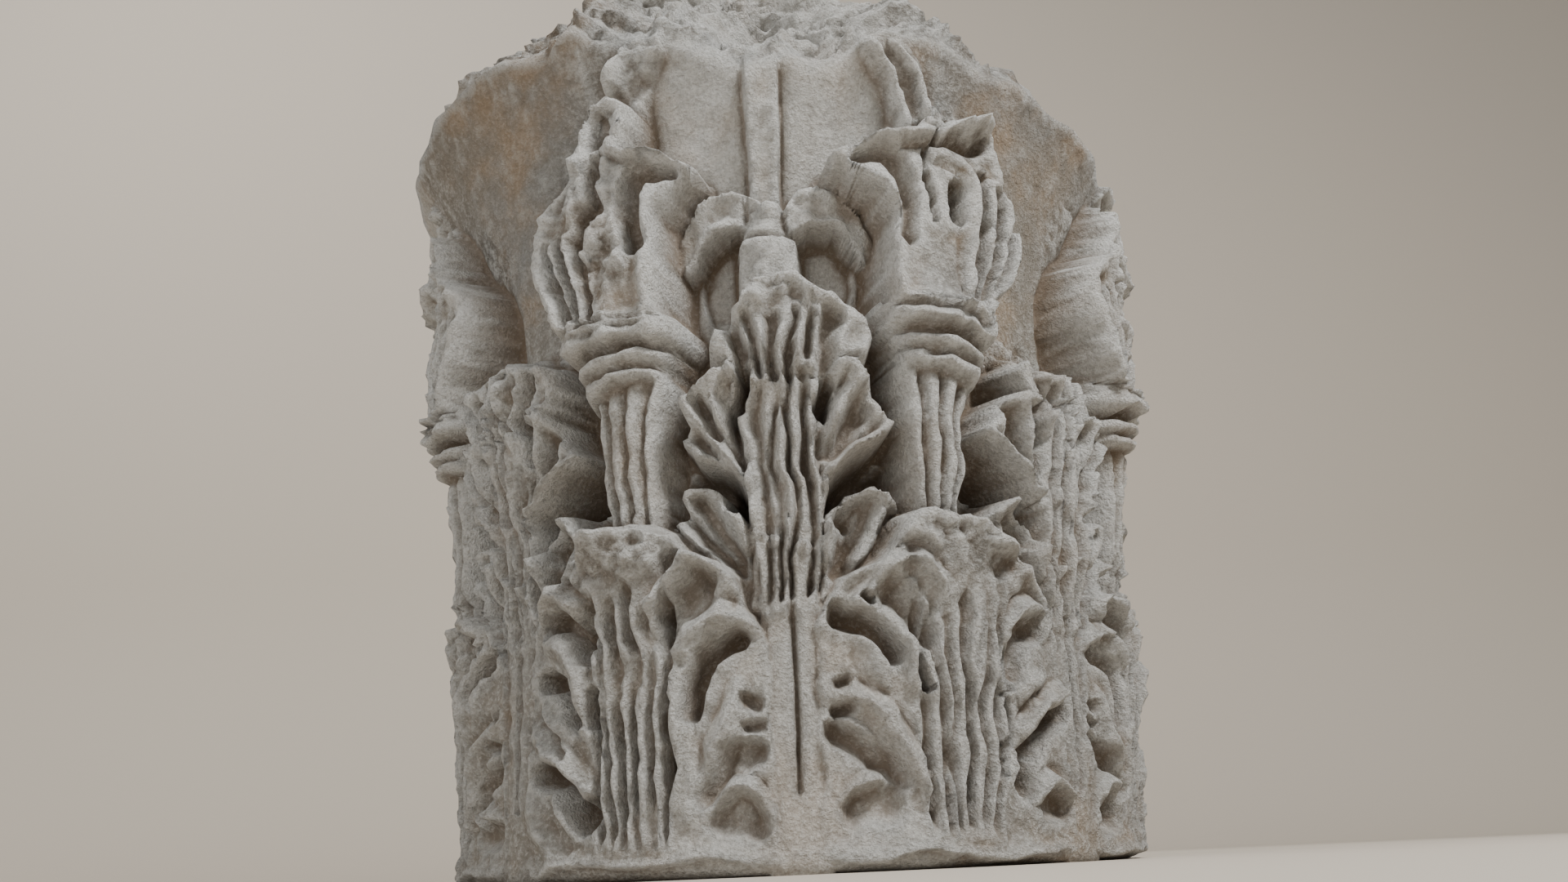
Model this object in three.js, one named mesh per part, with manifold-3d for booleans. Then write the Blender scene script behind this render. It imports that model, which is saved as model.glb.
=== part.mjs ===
// A worn Corinthian capital, carved from one block of pale marble, with its corner volutes, leaf tips
// and abacus broken away. Millimetres, +Z up.
//
// The origin is the centre of the lower bed, the flat face that rests on a column shaft. The front
// looks along -Y. Bearings round the axis are degrees from the front, positive towards +X. Heights are
// above the lower bed. The bell is a lathe solid whose top is broken to a steep mound. Every carved
// form is a slab bent round it, with its back buried in the bell, and all of them are joined to it.

import * as THREE from "three";
import { mergeVertices } from "three/addons/utils/BufferGeometryUtils.js";
import Module from "manifold-3d";

// The bell and its beds.
const BED_RADIUS = 240; // flat lower bed
const FOOT_RADIUS = 252; // foot ring
const FOOT_HEIGHT = 20;
const NECK_RADIUS = 236; // bell above the foot ring, behind the leaves
const LIP_RADIUS = 338; // where the lip is whole
const LIP_HEIGHT = 592;
const FLARE = 4.5; // a high power keeps the bell straight until near the lip
const UPPER_BED_HEIGHT = 702;
const UPPER_BED_RADIUS = 230; // what is left of the upper bed
const UPPER_BED_SHIFT_LEFT = 45; // more of it is left at the left and the back
const UPPER_BED_SHIFT_BACK = 30;
const CORE_RADIUS = 200; // where the backs of the carved forms lie

// Heights of the broken edge, one each 22.5 degrees from the front towards +X.
const EDGE_HEIGHTS = [531, 550, 545, 544, 554, 574, 590, 578, 566, 576, 588, 592, 590, 590, 584, 556];
const EDGE_PITCH = 22.5;
const EDGE_MARGIN = 8; // the carving stops this far below the broken edge
const MOUND_STEEPNESS = 0.75; // below 1 the mound rises steeply from its edge
const MOUND_BULGE = 0.9; // above 1 the mound stays wide until near its top
const MOUND_BULGE_SWING = 0.35; // more to the right, less to the left
const MOUND_ROUGHNESS = 10;
const BROAD_FACETS = 5; // round the axis
const FINE_FACETS = 13;

// The lower row of leaves.
const LOWER_ROW = {
  firstBearing: 22.5,
  foot: 14,
  tip: 204,
  halfWidth: 84,
  footRadius: 257, // surface of the spine at the foot
  tipRadius: 291,
  lobes: 3,
};

// The upper row of leaves, and the bare stems that carry them up between the lower leaves.
const UPPER_ROW = {
  firstBearing: 0,
  foot: 150,
  tip: 356,
  halfWidth: 78,
  footRadius: 262,
  tipRadius: 309,
  lobes: 3,
};
const UPPER_STEM_HALF_WIDTH = 21;
const UPPER_STEM_RADIUS = 254;
const UPPER_STEM_LEAN = 6;
const UPPER_STEM_ROUND = 8;
const UPPER_STEM_TOP = 170;

// What the leaves of both rows share, as shares of the leaf's own height or half width where no unit
// is given.
const LEAF_PITCH = 45; // degrees
const LEAF_SHOULDER = 0.62; // height at which a leaf starts to narrow
const LEAF_TIP_WIDTH = 0.5;
const LOBE_NOTCH = 0.26;
const LOBE_HOLLOW = 10; // mm
const LOBE_START = 0.45;
const LEAF_SINK = 15; // mm by which the leaf's edges lie back from its spine
const RIB_DEPTH = 6; // mm
const RIB_PITCH = 0.4;
const LEAF_DROOP = 0.05;
const LEAF_CURL = 1.6; // a power: the spine leans out mostly near the tip
const LOWER_LOSS = [6, 36, 14, 24, 4, 18, 30, 2]; // mm worn off each tip, towards +X
const UPPER_LOSS = [0, 30, 12, 4, 22, 8, 14, 18];

// The fluted stems between the upper leaves, each with a collar and a calyx.
const STEM_PITCH = 45; // degrees
const STEM_FIRST_BEARING = 22.5;
const STEM_LEAN = 1.2; // degrees towards the corner
const STEM_FOOT = 180;
const STEM_TOP = 304;
const STEM_FOOT_HALF_WIDTH = 16;
const STEM_TOP_HALF_WIDTH = 26;
const STEM_FOOT_RADIUS = 268;
const STEM_TOP_RADIUS = 289;
const FLUTES = 3;
const FLUTE_DEPTH = 5;
const ROUND_REACH = 0.96; // share of a half turn that a round form shows
const COLLAR_FOOT = 300;
const COLLAR_TOP = 345;
const COLLAR_HALF_WIDTH = 37;
const COLLAR_RADIUS = 306;
const COLLAR_ROLLS = 2;
const COLLAR_ROLL_DEPTH = 4;
const COLLAR_SLANT = 5;
const COLLAR_FLATNESS = 0.7;
const CALYX_FOOT = 343;
const CALYX_TOP = 484;
const CALYX_FOOT_HALF_WIDTH = 30;
const CALYX_CORNER_REACH = 88; // half width towards the corner of the abacus
const CALYX_FLOWER_REACH = 42; // half width towards the flower
const CALYX_RADIUS = 313;
const CALYX_RIBS = 4;
const CALYX_RIB_DEPTH = 7;
const CALYX_SINK = 26; // its sides lie this far back
const CALYX_DROOP = 26; // and its top corners this far down
const CALYX_RAGGED = 12;

// The flower stems at the middle of each face, with a small hooked leaf to either side.
const FACE_PITCH = 90; // degrees
const STUB_FOOT = 345;
const STUB_TOP = 424;
const STUB_HALF_WIDTH = 19;
const STUB_RADIUS = 286;
const STUB_SWELL = 5;
const STUB_ROUND = 12;
const BAND_FOOT = 420;
const BAND_TOP = 540;
const BAND_HALF_WIDTH = 12;
const BAND_RELIEF = 9;
const HOOK_START = 4;
const HOOK_REACH = 66;
const HOOK_SPRING = 376; // height of the hook's outer end
const HOOK_CREST = 426;
const HOOK_THICKNESS = 22;
const HOOK_RELIEF = 30;
const HOOK_SINK = 10; // its outer end lies this far back
const HOOK_DIP = 10; // where it springs from the stub

// The stubs of the inner scrolls, which ran up from each calyx towards the flower.
const SCROLL_FOOT = 470;
const SCROLL_TOP = 556;
const SCROLL_LEAN = 34; // sideways from foot to top
const SCROLL_HALF_WIDTH = 17;
const SCROLL_RELIEF = 20;
const SCROLL_CHANNEL = 8;

// How finely the bell is divided.
const BELL_COLUMNS = 64;
const BELL_ROWS = 8;
const MOUND_ROWS = 4;
const WORKED_RADIUS = 280; // turns a width along the flank into degrees

const { degToRad, radToDeg, lerp, smoothstep, clamp, euclideanModulo } = THREE.MathUtils;

function toDegrees(width) {
  return radToDeg(width / WORKED_RADIUS);
}

function bellRadius(height) {
  const share = clamp((height - FOOT_HEIGHT) / (LIP_HEIGHT - FOOT_HEIGHT), 0, 1);
  return lerp(NECK_RADIUS, LIP_RADIUS, share ** FLARE);
}

// Moves a point to a bearing, radius and height.
function placePoint(position, index, { bearing, radius, height }) {
  const turn = degToRad(bearing);
  position.setXYZ(index, radius * Math.sin(turn), -radius * Math.cos(turn), height);
}

// Height of the broken edge, with the listed heights joined smoothly.
function edgeHeight(bearing) {
  const place = euclideanModulo(bearing, 360) / EDGE_PITCH;
  const before = EDGE_HEIGHTS[Math.floor(place) % EDGE_HEIGHTS.length];
  const after = EDGE_HEIGHTS[(Math.floor(place) + 1) % EDGE_HEIGHTS.length];
  return lerp(before, after, smoothstep(place % 1, 0, 1));
}

// Facets of the break: a slow roughness between -1 and 1 that closes on itself round the axis.
function breakRoughness(bearing, share) {
  const turn = degToRad(bearing);
  const broad = Math.sin(BROAD_FACETS * turn + 6 * share) * Math.cos(3 * turn - 4 * share);
  const fine = Math.sin(FINE_FACETS * turn - 9 * share) * Math.cos(8 * turn + 7 * share);
  return 0.6 * broad + 0.4 * fine;
}

// The radius of the mound above the broken edge, at a share of the way up it.
function moundRadius(bearing, share) {
  const turn = degToRad(bearing);
  const shift = UPPER_BED_SHIFT_LEFT * Math.sin(turn) + UPPER_BED_SHIFT_BACK * Math.cos(turn);
  const bulge = MOUND_BULGE + MOUND_BULGE_SWING * Math.sin(turn);
  return lerp(bellRadius(edgeHeight(bearing)), UPPER_BED_RADIUS - shift, share ** bulge);
}

// The foot ring, the flank up to the broken edge, and the mound of broken stone above it.
function bellPoint(bearing, row) {
  const edge = edgeHeight(bearing);
  const footRows = [
    { bearing, radius: 0, height: 0 },
    { bearing, radius: BED_RADIUS, height: 0 },
    { bearing, radius: FOOT_RADIUS, height: FOOT_HEIGHT * 0.3 },
    { bearing, radius: FOOT_RADIUS, height: FOOT_HEIGHT * 0.8 },
    { bearing, radius: NECK_RADIUS, height: FOOT_HEIGHT },
  ];
  if (row < footRows.length) return footRows[row];
  const flankRow = row - footRows.length + 1;
  if (flankRow <= BELL_ROWS) {
    const height = lerp(FOOT_HEIGHT, edge, Math.sqrt(flankRow / BELL_ROWS));
    return { bearing, radius: bellRadius(height), height };
  }
  const share = Math.min((flankRow - BELL_ROWS) / MOUND_ROWS, 1);
  if (flankRow > BELL_ROWS + MOUND_ROWS) return { bearing, radius: 0, height: UPPER_BED_HEIGHT };
  const broken = MOUND_ROUGHNESS * breakRoughness(bearing, share) * Math.sin(Math.PI * share);
  return {
    bearing,
    radius: moundRadius(bearing, share) + broken,
    height: lerp(edge, UPPER_BED_HEIGHT, share ** MOUND_STEEPNESS) + broken,
  };
}

// The lathe only sets the number of points in a column: each one is then put in its place.
function bell() {
  const rows = Array.from({ length: 6 + BELL_ROWS + MOUND_ROWS }, (_, row) => {
    const { radius, height } = bellPoint(0, row);
    return new THREE.Vector2(radius, height);
  });
  const geometry = new THREE.LatheGeometry(rows, BELL_COLUMNS);
  const position = geometry.getAttribute("position");
  for (let i = 0; i < position.count; i++) {
    const column = Math.floor(i / rows.length) % BELL_COLUMNS;
    placePoint(position, i, bellPoint((360 * column) / BELL_COLUMNS, i % rows.length));
  }
  return geometry;
}

// A carved form. Across runs from -1 to 1 and up from 0 to 1, and front(across, up) gives the bearing,
// radius and height of its face. Its back has the same bearings and heights at the core.
function slab(acrossSegments, upSegments, front) {
  const geometry = new THREE.BoxGeometry(2, 1, 1, acrossSegments, 1, upSegments);
  const position = geometry.getAttribute("position");
  for (let i = 0; i < position.count; i++) {
    const place = front(position.getX(i), position.getZ(i) + 0.5);
    const isFront = position.getY(i) < 0;
    placePoint(position, i, isFront ? place : { ...place, radius: CORE_RADIUS });
  }
  return geometry;
}

// A leaf has a ribbed spine that leans out towards the tip, and rounded, hollowed lobes beside it.
function leaf(row, bearing, loss) {
  return slab(10, 6, (across, up) => {
    const beside = Math.abs(across);
    const lobe = Math.sin(Math.PI * row.lobes * Math.min(up, 0.97)) ** 2;
    const narrowing = lerp(1, LEAF_TIP_WIDTH, smoothstep(up, LEAF_SHOULDER, 1));
    const halfWidth = row.halfWidth * narrowing * (1 - LOBE_NOTCH * (1 - lobe));
    const spine = lerp(row.footRadius, row.tipRadius, up ** LEAF_CURL) - loss * 0.25 * up;
    const ribs = beside > RIB_PITCH ? 0 : RIB_DEPTH * Math.sin((Math.PI * across) / RIB_PITCH) ** 2;
    const acrossLobe = clamp((beside - LOBE_START) / (1 - LOBE_START), 0, 1);
    const hollow = LOBE_HOLLOW * lobe * Math.sin(Math.PI * acrossLobe);
    const droop = LEAF_DROOP * (row.tip - row.foot) * across ** 2;
    return {
      bearing: bearing + toDegrees(across * halfWidth),
      radius: spine - LEAF_SINK * across ** 2 - ribs - hollow,
      height: lerp(row.foot, row.tip - loss, up) - droop * up,
    };
  });
}

function leavesOf(row, losses) {
  return losses.map((loss, i) => leaf(row, row.firstBearing + i * LEAF_PITCH, loss));
}

// The bare stem of an upper leaf, swelling a little between two grooves.
function upperStem(bearing) {
  return slab(2, 1, (across, up) => ({
    bearing: bearing + toDegrees(across * UPPER_STEM_HALF_WIDTH),
    radius: UPPER_STEM_RADIUS + UPPER_STEM_LEAN * up - UPPER_STEM_ROUND * across ** 4,
    height: lerp(FOOT_HEIGHT / 2, UPPER_STEM_TOP, up),
  }));
}

function flutedStem(bearing, corner) {
  return slab(6, 2, (across, up) => {
    const halfWidth = lerp(STEM_FOOT_HALF_WIDTH, STEM_TOP_HALF_WIDTH, up ** 1.5);
    const flute = FLUTE_DEPTH * Math.sin(Math.PI * FLUTES * across * 0.5) ** 2;
    const round = halfWidth * (1 - Math.sqrt(1 - (across * ROUND_REACH) ** 2));
    return {
      bearing: bearing - corner * STEM_LEAN + toDegrees(across * halfWidth),
      radius: lerp(STEM_FOOT_RADIUS, STEM_TOP_RADIUS, up) - round - flute,
      height: lerp(STEM_FOOT, STEM_TOP, up),
    };
  });
}

// A collar binds the stem with two slanting rolls.
function collar(bearing, corner) {
  return slab(4, 4, (across, up) => {
    const roll = COLLAR_ROLL_DEPTH * Math.cos(2 * Math.PI * COLLAR_ROLLS * up);
    const depth = COLLAR_HALF_WIDTH * COLLAR_FLATNESS;
    const round = depth * (1 - Math.sqrt(1 - (across * ROUND_REACH) ** 2));
    return {
      bearing: bearing - corner * STEM_LEAN + toDegrees(across * COLLAR_HALF_WIDTH),
      radius: COLLAR_RADIUS - roll - round,
      height: lerp(COLLAR_FOOT, COLLAR_TOP, up) + corner * COLLAR_SLANT * across,
    };
  });
}

// The calyx spreads further towards the corner, under the lost volute, than towards the flower.
function calyx(bearing, corner) {
  return slab(8, 4, (across, up) => {
    const isCorner = across * corner > 0;
    const reach = isCorner ? CALYX_CORNER_REACH : CALYX_FLOWER_REACH;
    const halfWidth = lerp(CALYX_FOOT_HALF_WIDTH, reach, Math.sin((up * Math.PI) / 2));
    const ribs = CALYX_RIB_DEPTH * Math.sin(Math.PI * CALYX_RIBS * across * 0.5) ** 2 * (1 - 0.4 * up);
    const ragged = CALYX_RAGGED * Math.cos(5 * across) * up;
    return {
      bearing: bearing + toDegrees(across * halfWidth),
      radius: CALYX_RADIUS - ribs - CALYX_SINK * across ** 2,
      height: lerp(CALYX_FOOT, CALYX_TOP, up) - CALYX_DROOP * up * across ** 2 + ragged,
    };
  });
}

// The stub of an inner scroll: two rims with a channel between them, leaning towards the flower.
function scroll(bearing, corner) {
  return slab(2, 3, (across, up) => {
    const sideways = across * SCROLL_HALF_WIDTH - corner * SCROLL_LEAN * up ** 1.5;
    const height = lerp(SCROLL_FOOT, Math.min(SCROLL_TOP, edgeHeight(bearing) - EDGE_MARGIN), up);
    const channel = SCROLL_CHANNEL * (1 - across ** 2);
    return {
      bearing: bearing + corner + toDegrees(sideways),
      radius: bellRadius(height) + SCROLL_RELIEF * (1 - 0.6 * up) - channel,
      height,
    };
  });
}

// The thick stub of a flower stem, then the thin band that runs up from it.
function flowerStub(bearing) {
  return slab(4, 2, (across, up) => ({
    bearing: bearing + toDegrees(across * STUB_HALF_WIDTH),
    radius: STUB_RADIUS + STUB_SWELL * Math.sin(Math.PI * up) - STUB_ROUND * across ** 2,
    height: lerp(STUB_FOOT, STUB_TOP, up),
  }));
}

function flowerBand(bearing) {
  return slab(2, 2, (across, up) => {
    const height = lerp(BAND_FOOT, Math.min(BAND_TOP, edgeHeight(bearing) - EDGE_MARGIN), up);
    return {
      bearing: bearing + toDegrees(across * BAND_HALF_WIDTH),
      radius: bellRadius(height) + BAND_RELIEF,
      height,
    };
  });
}

// A hooked leaf rises from the flower's stub and turns down to its outer end.
function hook(bearing, side) {
  return slab(4, 1, (across, up) => {
    const reach = (across * side + 1) / 2;
    const crest = lerp(HOOK_CREST, HOOK_SPRING, reach ** 2.2) - HOOK_DIP * (1 - reach) ** 3;
    const height = crest + (up - 0.5) * HOOK_THICKNESS;
    return {
      bearing: bearing + side * toDegrees(lerp(HOOK_START, HOOK_REACH, reach)),
      radius: bellRadius(height) + HOOK_RELIEF - HOOK_SINK * reach,
      height,
    };
  });
}

function facesOf(makeForm) {
  return [0, 1, 2, 3].map((face) => makeForm(face * FACE_PITCH));
}

// The corner is +1 where the nearest corner of the abacus lies towards +X of the stem, and -1 otherwise.
function stemsOf(makeForm) {
  return LOWER_LOSS.map((_, i) => makeForm(STEM_FIRST_BEARING + i * STEM_PITCH, i % 2 === 0 ? 1 : -1));
}

const wasm = await Module();
wasm.setup();

function toManifold(geometry) {
  geometry.deleteAttribute("normal");
  geometry.deleteAttribute("uv");
  const merged = mergeVertices(geometry, 0.001);
  return new wasm.Manifold(
    new wasm.Mesh({
      numProp: 3,
      vertProperties: new Float32Array(merged.getAttribute("position").array),
      triVerts: new Uint32Array(merged.index.array),
    }),
  );
}

function toGeometry(manifold) {
  const { vertProperties, triVerts } = manifold.getMesh();
  const geometry = new THREE.BufferGeometry();
  geometry.setAttribute("position", new THREE.Float32BufferAttribute(vertProperties, 3));
  geometry.setIndex(new THREE.Uint32BufferAttribute(triVerts, 1));
  geometry.computeVertexNormals();
  return geometry;
}

const carvedForms = [
  ...leavesOf(LOWER_ROW, LOWER_LOSS),
  ...leavesOf(UPPER_ROW, UPPER_LOSS),
  ...UPPER_LOSS.map((_, i) => upperStem(i * LEAF_PITCH)),
  ...stemsOf(flutedStem),
  ...stemsOf(collar),
  ...stemsOf(calyx),
  ...stemsOf(scroll),
  ...facesOf(flowerStub),
  ...facesOf(flowerBand),
  ...facesOf((bearing) => hook(bearing, -1)),
  ...facesOf((bearing) => hook(bearing, 1)),
];
const block = carvedForms.map(toManifold).reduce((solid, form) => solid.add(form), toManifold(bell()));

const marble = new THREE.MeshStandardMaterial({ color: 0xa39a8e, roughness: 0.9, metalness: 0 });
const capital = new THREE.Mesh(toGeometry(block), marble);
capital.name = "capital";

const part = new THREE.Group();
part.add(capital);

export default part;
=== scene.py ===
"""A worn Corinthian capital in weathered marble, carved as one block.

The block is worked as a flank that is unrolled round the axis: every leaf, stem and scroll raises or
cuts its radius in millimetres, the broken top closes it, and the sheet is rolled up into one mesh.
Bearings are degrees from the front, positive towards +X, and heights are above the lower bed.
"""

import logging
import math
from collections.abc import Callable, Sequence
from dataclasses import dataclass, field
from enum import Enum

import bpy
import numpy as np
from mathutils import Matrix, Vector

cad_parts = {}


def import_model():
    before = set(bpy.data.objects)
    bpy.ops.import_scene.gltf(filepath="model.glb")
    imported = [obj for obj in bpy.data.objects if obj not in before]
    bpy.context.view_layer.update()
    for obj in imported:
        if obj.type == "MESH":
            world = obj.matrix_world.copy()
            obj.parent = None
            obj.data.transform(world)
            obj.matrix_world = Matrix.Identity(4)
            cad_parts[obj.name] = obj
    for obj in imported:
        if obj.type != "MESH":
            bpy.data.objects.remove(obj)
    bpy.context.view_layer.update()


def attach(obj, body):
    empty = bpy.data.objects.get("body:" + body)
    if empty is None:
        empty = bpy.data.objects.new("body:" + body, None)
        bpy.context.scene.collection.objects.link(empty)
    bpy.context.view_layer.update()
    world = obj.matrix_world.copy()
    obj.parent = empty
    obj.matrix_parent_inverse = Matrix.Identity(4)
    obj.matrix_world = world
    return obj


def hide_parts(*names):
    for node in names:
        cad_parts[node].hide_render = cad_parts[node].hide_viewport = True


LOG = logging.getLogger("capital")
MM = 0.001
NODE = "capital"
SEED = 7
WORKED_RADIUS = 280.0
MM_PER_DEGREE = math.radians(1.0) * WORKED_RADIUS
STALKS = 8
FACES = 4
PITCH = 360.0 / STALKS
STALK_SEED = SEED + 20
UPPER_SEED = SEED + 40
LATTICE = 32
ELSEWHERE = (500.0, 0.0, 300.0)
FAR_AWAY = 1e9
FINE_BLUR = 3
BROAD_BLUR = 12
# Attributes the marble reads: cavity gives the hollows dirt and painted shade, upward gives painted light on
# top and painted shade underneath
MARKS = ("cavity", "crest", "broken", "upward")

# Places of a colour Mix node's sockets
MIX_SHARE, MIX_FIRST, MIX_SECOND = 0, 6, 7
MIX_COLOUR = 2

Point = tuple[float, float]
Colour = tuple[float, float, float]
Array = np.ndarray


def smooth(low: float, high: float, value: Array) -> Array:
    """Returns a smooth step from 0 at low to 1 at high."""
    share = np.clip((value - low) / (high - low), 0.0, 1.0)
    return share * share * (3.0 - 2.0 * share)


def wrapped(degrees: Array) -> Array:
    """Returns bearings brought to between -180 and 180."""
    return (degrees + 180.0) % 360.0 - 180.0


class Noise:
    """Lattice noise in space, so that it closes on itself round the axis."""

    def __init__(self, seed: int) -> None:
        """Fills the table of lattice values.

        Args:
            seed: the table's seed.
        """
        self.table = np.random.default_rng(seed).uniform(-1.0, 1.0, (LATTICE,) * 3)

    def single(self, points: Sequence[Array], size: float) -> Array:
        """Returns one layer of noise.

        Args:
            points: the x, y and z coordinates.
            size: distance between lattice points, in the coordinates' unit.

        Returns:
            Values between -1 and 1.
        """
        cells, shares = [], []
        for axis in points:
            scaled = axis / size
            cell = np.floor(scaled)
            share = scaled - cell
            cells.append(cell.astype(int))
            shares.append(share * share * (3.0 - 2.0 * share))
        total = np.zeros_like(shares[0])
        for corner in range(8):
            weight = np.ones_like(total)
            place = []
            for axis in range(3):
                step = corner >> axis & 1
                weight = weight * (shares[axis] if step else 1.0 - shares[axis])
                place.append((cells[axis] + step) % LATTICE)
            total += weight * self.table[tuple(place)]
        return total

    def layered(self, points: Sequence[Array], size: float, layers: int = 3) -> Array:
        """Adds up layers of noise, each half as large and half as strong as the last.

        Args:
            points: the x, y and z coordinates.
            size: distance between the first layer's lattice points.
            layers: how many layers there are.

        Returns:
            The sum of the layers.
        """
        total = np.zeros_like(points[0])
        for layer in range(layers):
            total += self.single(points, size / 2**layer) / 2**layer
        return total


class Side(Enum):
    """Which way a form is turned on the flank."""

    LEFT = -1.0
    RIGHT = 1.0


class Flank:
    """The unrolled flank of the block: one radius for each bearing and height."""

    def __init__(self, columns: int, rows: int, edge: Callable[[Array], Array]) -> None:
        """Lays out the sheet.

        Args:
            columns: points round the block.
            rows: points from the lower bed to the broken edge.
            edge: the height of the broken edge at a bearing.
        """
        self.bearing = np.linspace(-180.0, 180.0, columns, endpoint=False)
        self.edge = edge(self.bearing)
        self.share = np.linspace(0.0, 1.0, rows)
        self.height = self.share[:, None] * self.edge[None, :]
        self.radius = np.zeros((rows, columns))
        self.broken = np.zeros((rows, columns))

    def window(self, bearing: float, reach: float, low: float, high: float) -> "Window":
        """Returns the part of the flank round a bearing.

        Args:
            bearing: the window's middle, in degrees.
            reach: half its width, in millimetres.
            low: its lowest height.
            high: its highest height.

        Returns:
            The window.
        """
        offset = wrapped(self.bearing - bearing) * MM_PER_DEGREE
        columns = np.nonzero(np.abs(offset) <= reach)[0]
        columns = columns[np.argsort(offset[columns])]
        first = np.searchsorted(self.share, low / self.edge.max())
        last = np.searchsorted(self.share, high / self.edge.min()) + 1
        return Window(self, slice(int(first), int(last)), columns, offset[columns])

    def points(self) -> tuple[Array, Array, Array]:
        """Returns the coordinates of every point of the flank."""
        turn = np.radians(self.bearing)[None, :]
        return self.radius * np.sin(turn), -self.radius * np.cos(turn), self.height


class Window:
    """A part of the flank that one form is carved in, with its own sideways distances."""

    def __init__(self, flank: Flank, rows: slice, columns: Array, offset: Array) -> None:
        """Keeps the window's place.

        Args:
            flank: the sheet that is carved.
            rows: its rows.
            columns: its columns, from left to right.
            offset: the columns' distances from its middle, in millimetres.
        """
        self.flank = flank
        self.rows = rows
        self.columns = columns
        self.x = np.broadcast_to(offset[None, :], flank.height[rows][:, columns].shape)
        self.z = flank.height[rows][:, columns]
        self.radius = flank.radius[rows][:, columns].copy()
        self.broken = flank.broken[rows][:, columns].copy()

    def waver(self, noise: Noise, reach: float) -> None:
        """Bends the window's own distances a little, so that no line in it is cut quite true.

        Args:
            noise: the source of the waver.
            reach: how far a line strays, in millimetres.
        """
        turn = np.radians(self.flank.bearing[self.columns])[None, :] + 0.0 * self.z
        places = (WORKED_RADIUS * np.sin(turn), -WORKED_RADIUS * np.cos(turn), self.z)
        shifted = tuple(place + step for place, step in zip(places, ELSEWHERE))
        self.x = self.x + reach * noise.layered(places, 30.0, 3)
        self.z = self.z + reach * noise.layered(shifted, 34.0, 3)

    def turned(self, side: Side) -> Array:
        """Returns the sideways distances, positive towards the given side."""
        return self.x * side.value

    def raise_to(self, level: Array, soft: float = 0.8) -> None:
        """Raises the surface to a level where the level is higher, with a worn join.

        Args:
            level: the new radius.
            soft: width of the join, in millimetres of radius.
        """
        gap = np.clip(0.5 + 0.5 * (level - self.radius) / soft, 0.0, 1.0)
        self.radius = self.radius * (1.0 - gap) + level * gap + soft * gap * (1.0 - gap) * 0.5

    def close(self) -> None:
        """Puts the window back into the flank."""
        self.flank.radius[self.rows, self.columns] = self.radius
        self.flank.broken[self.rows, self.columns] = self.broken


@dataclass(frozen=True)
class Trail:
    """A smooth line on the flank, from its foot to its tip."""

    points: tuple[Point, ...]
    steps: int = 6

    def dense(self) -> Array:
        """Smooths the line with Catmull-Rom curves.

        Returns:
            Its points, one in each row.
        """
        raw = np.array(self.points, dtype=float)
        if len(raw) == 2:
            return np.linspace(raw[0], raw[1], 3)
        padded = np.vstack([2 * raw[0] - raw[1], raw, 2 * raw[-1] - raw[-2]])
        out = []
        for i in range(1, len(padded) - 2):
            a, b, c, d = padded[i - 1 : i + 3]
            for step in range(self.steps):
                t = step / self.steps
                out.append(
                    0.5 * (2 * b + (c - a) * t + (2 * a - 5 * b + 4 * c - d) * t**2)
                    + 0.5 * (3 * b - a - 3 * c + d) * t**3
                )
        out.append(padded[-2])
        return np.array(out)

    def measure(self, x: Array, z: Array) -> tuple[Array, Array]:
        """Measures points against the line.

        Args:
            x: sideways distances.
            z: heights.

        Returns:
            Each point's distance to the line, and how far along the line its nearest point is, from 0
            to 1.
        """
        line = self.dense()
        lengths = np.linalg.norm(np.diff(line, axis=0), axis=1)
        starts = np.concatenate([[0.0], np.cumsum(lengths)])
        best = np.full(x.shape, FAR_AWAY)
        along = np.zeros(x.shape)
        for i, length in enumerate(lengths):
            (ax, az), (bx, bz) = line[i], line[i + 1]
            dx, dz = (bx - ax) / length, (bz - az) / length
            t = np.clip((x - ax) * dx + (z - az) * dz, 0.0, length)
            distance = np.hypot(x - ax - t * dx, z - az - t * dz)
            nearer = distance < best
            best = np.where(nearer, distance, best)
            along = np.where(nearer, (starts[i] + t) / starts[-1], along)
        return best, along


class Cut(Enum):
    """How a stroke changes the surface."""

    RIDGE = "ridge"
    HOLLOW = "hollow"
    HOLE = "hole"


@dataclass(frozen=True)
class Stroke:
    """One stroke of the carving along a smooth line: a worn crest, a soft hollow or a drilled hole."""

    cut: Cut
    trail: Trail
    width: float
    amount: float

    def carve(self, window: Window, side: Side) -> None:
        """Carves the stroke.

        Args:
            window: the part of the flank it is in.
            side: the side of the form it is on.
        """
        distance, along = self.trail.measure(window.turned(side), window.z)
        if self.cut is Cut.RIDGE:
            ends = 0.35 + 0.65 * np.sin(np.pi * np.clip(along, 0.04, 0.96)) ** 0.6
            crest = np.exp(-((distance / self.width) ** 1.4))
            groove = np.exp(-(((distance / self.width - 1.9) / 0.4) ** 2))
            window.radius = window.radius + self.amount * ends * (crest - 0.3 * groove)
        elif self.cut is Cut.HOLLOW:
            share = np.clip(1.0 - (distance / (1.25 * self.width)) ** 2, 0.0, 1.0)
            window.radius = window.radius - self.amount * share**1.2
        else:
            window.radius = window.radius - self.amount * smooth(self.width * 1.3, self.width * 0.6, distance)


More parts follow.
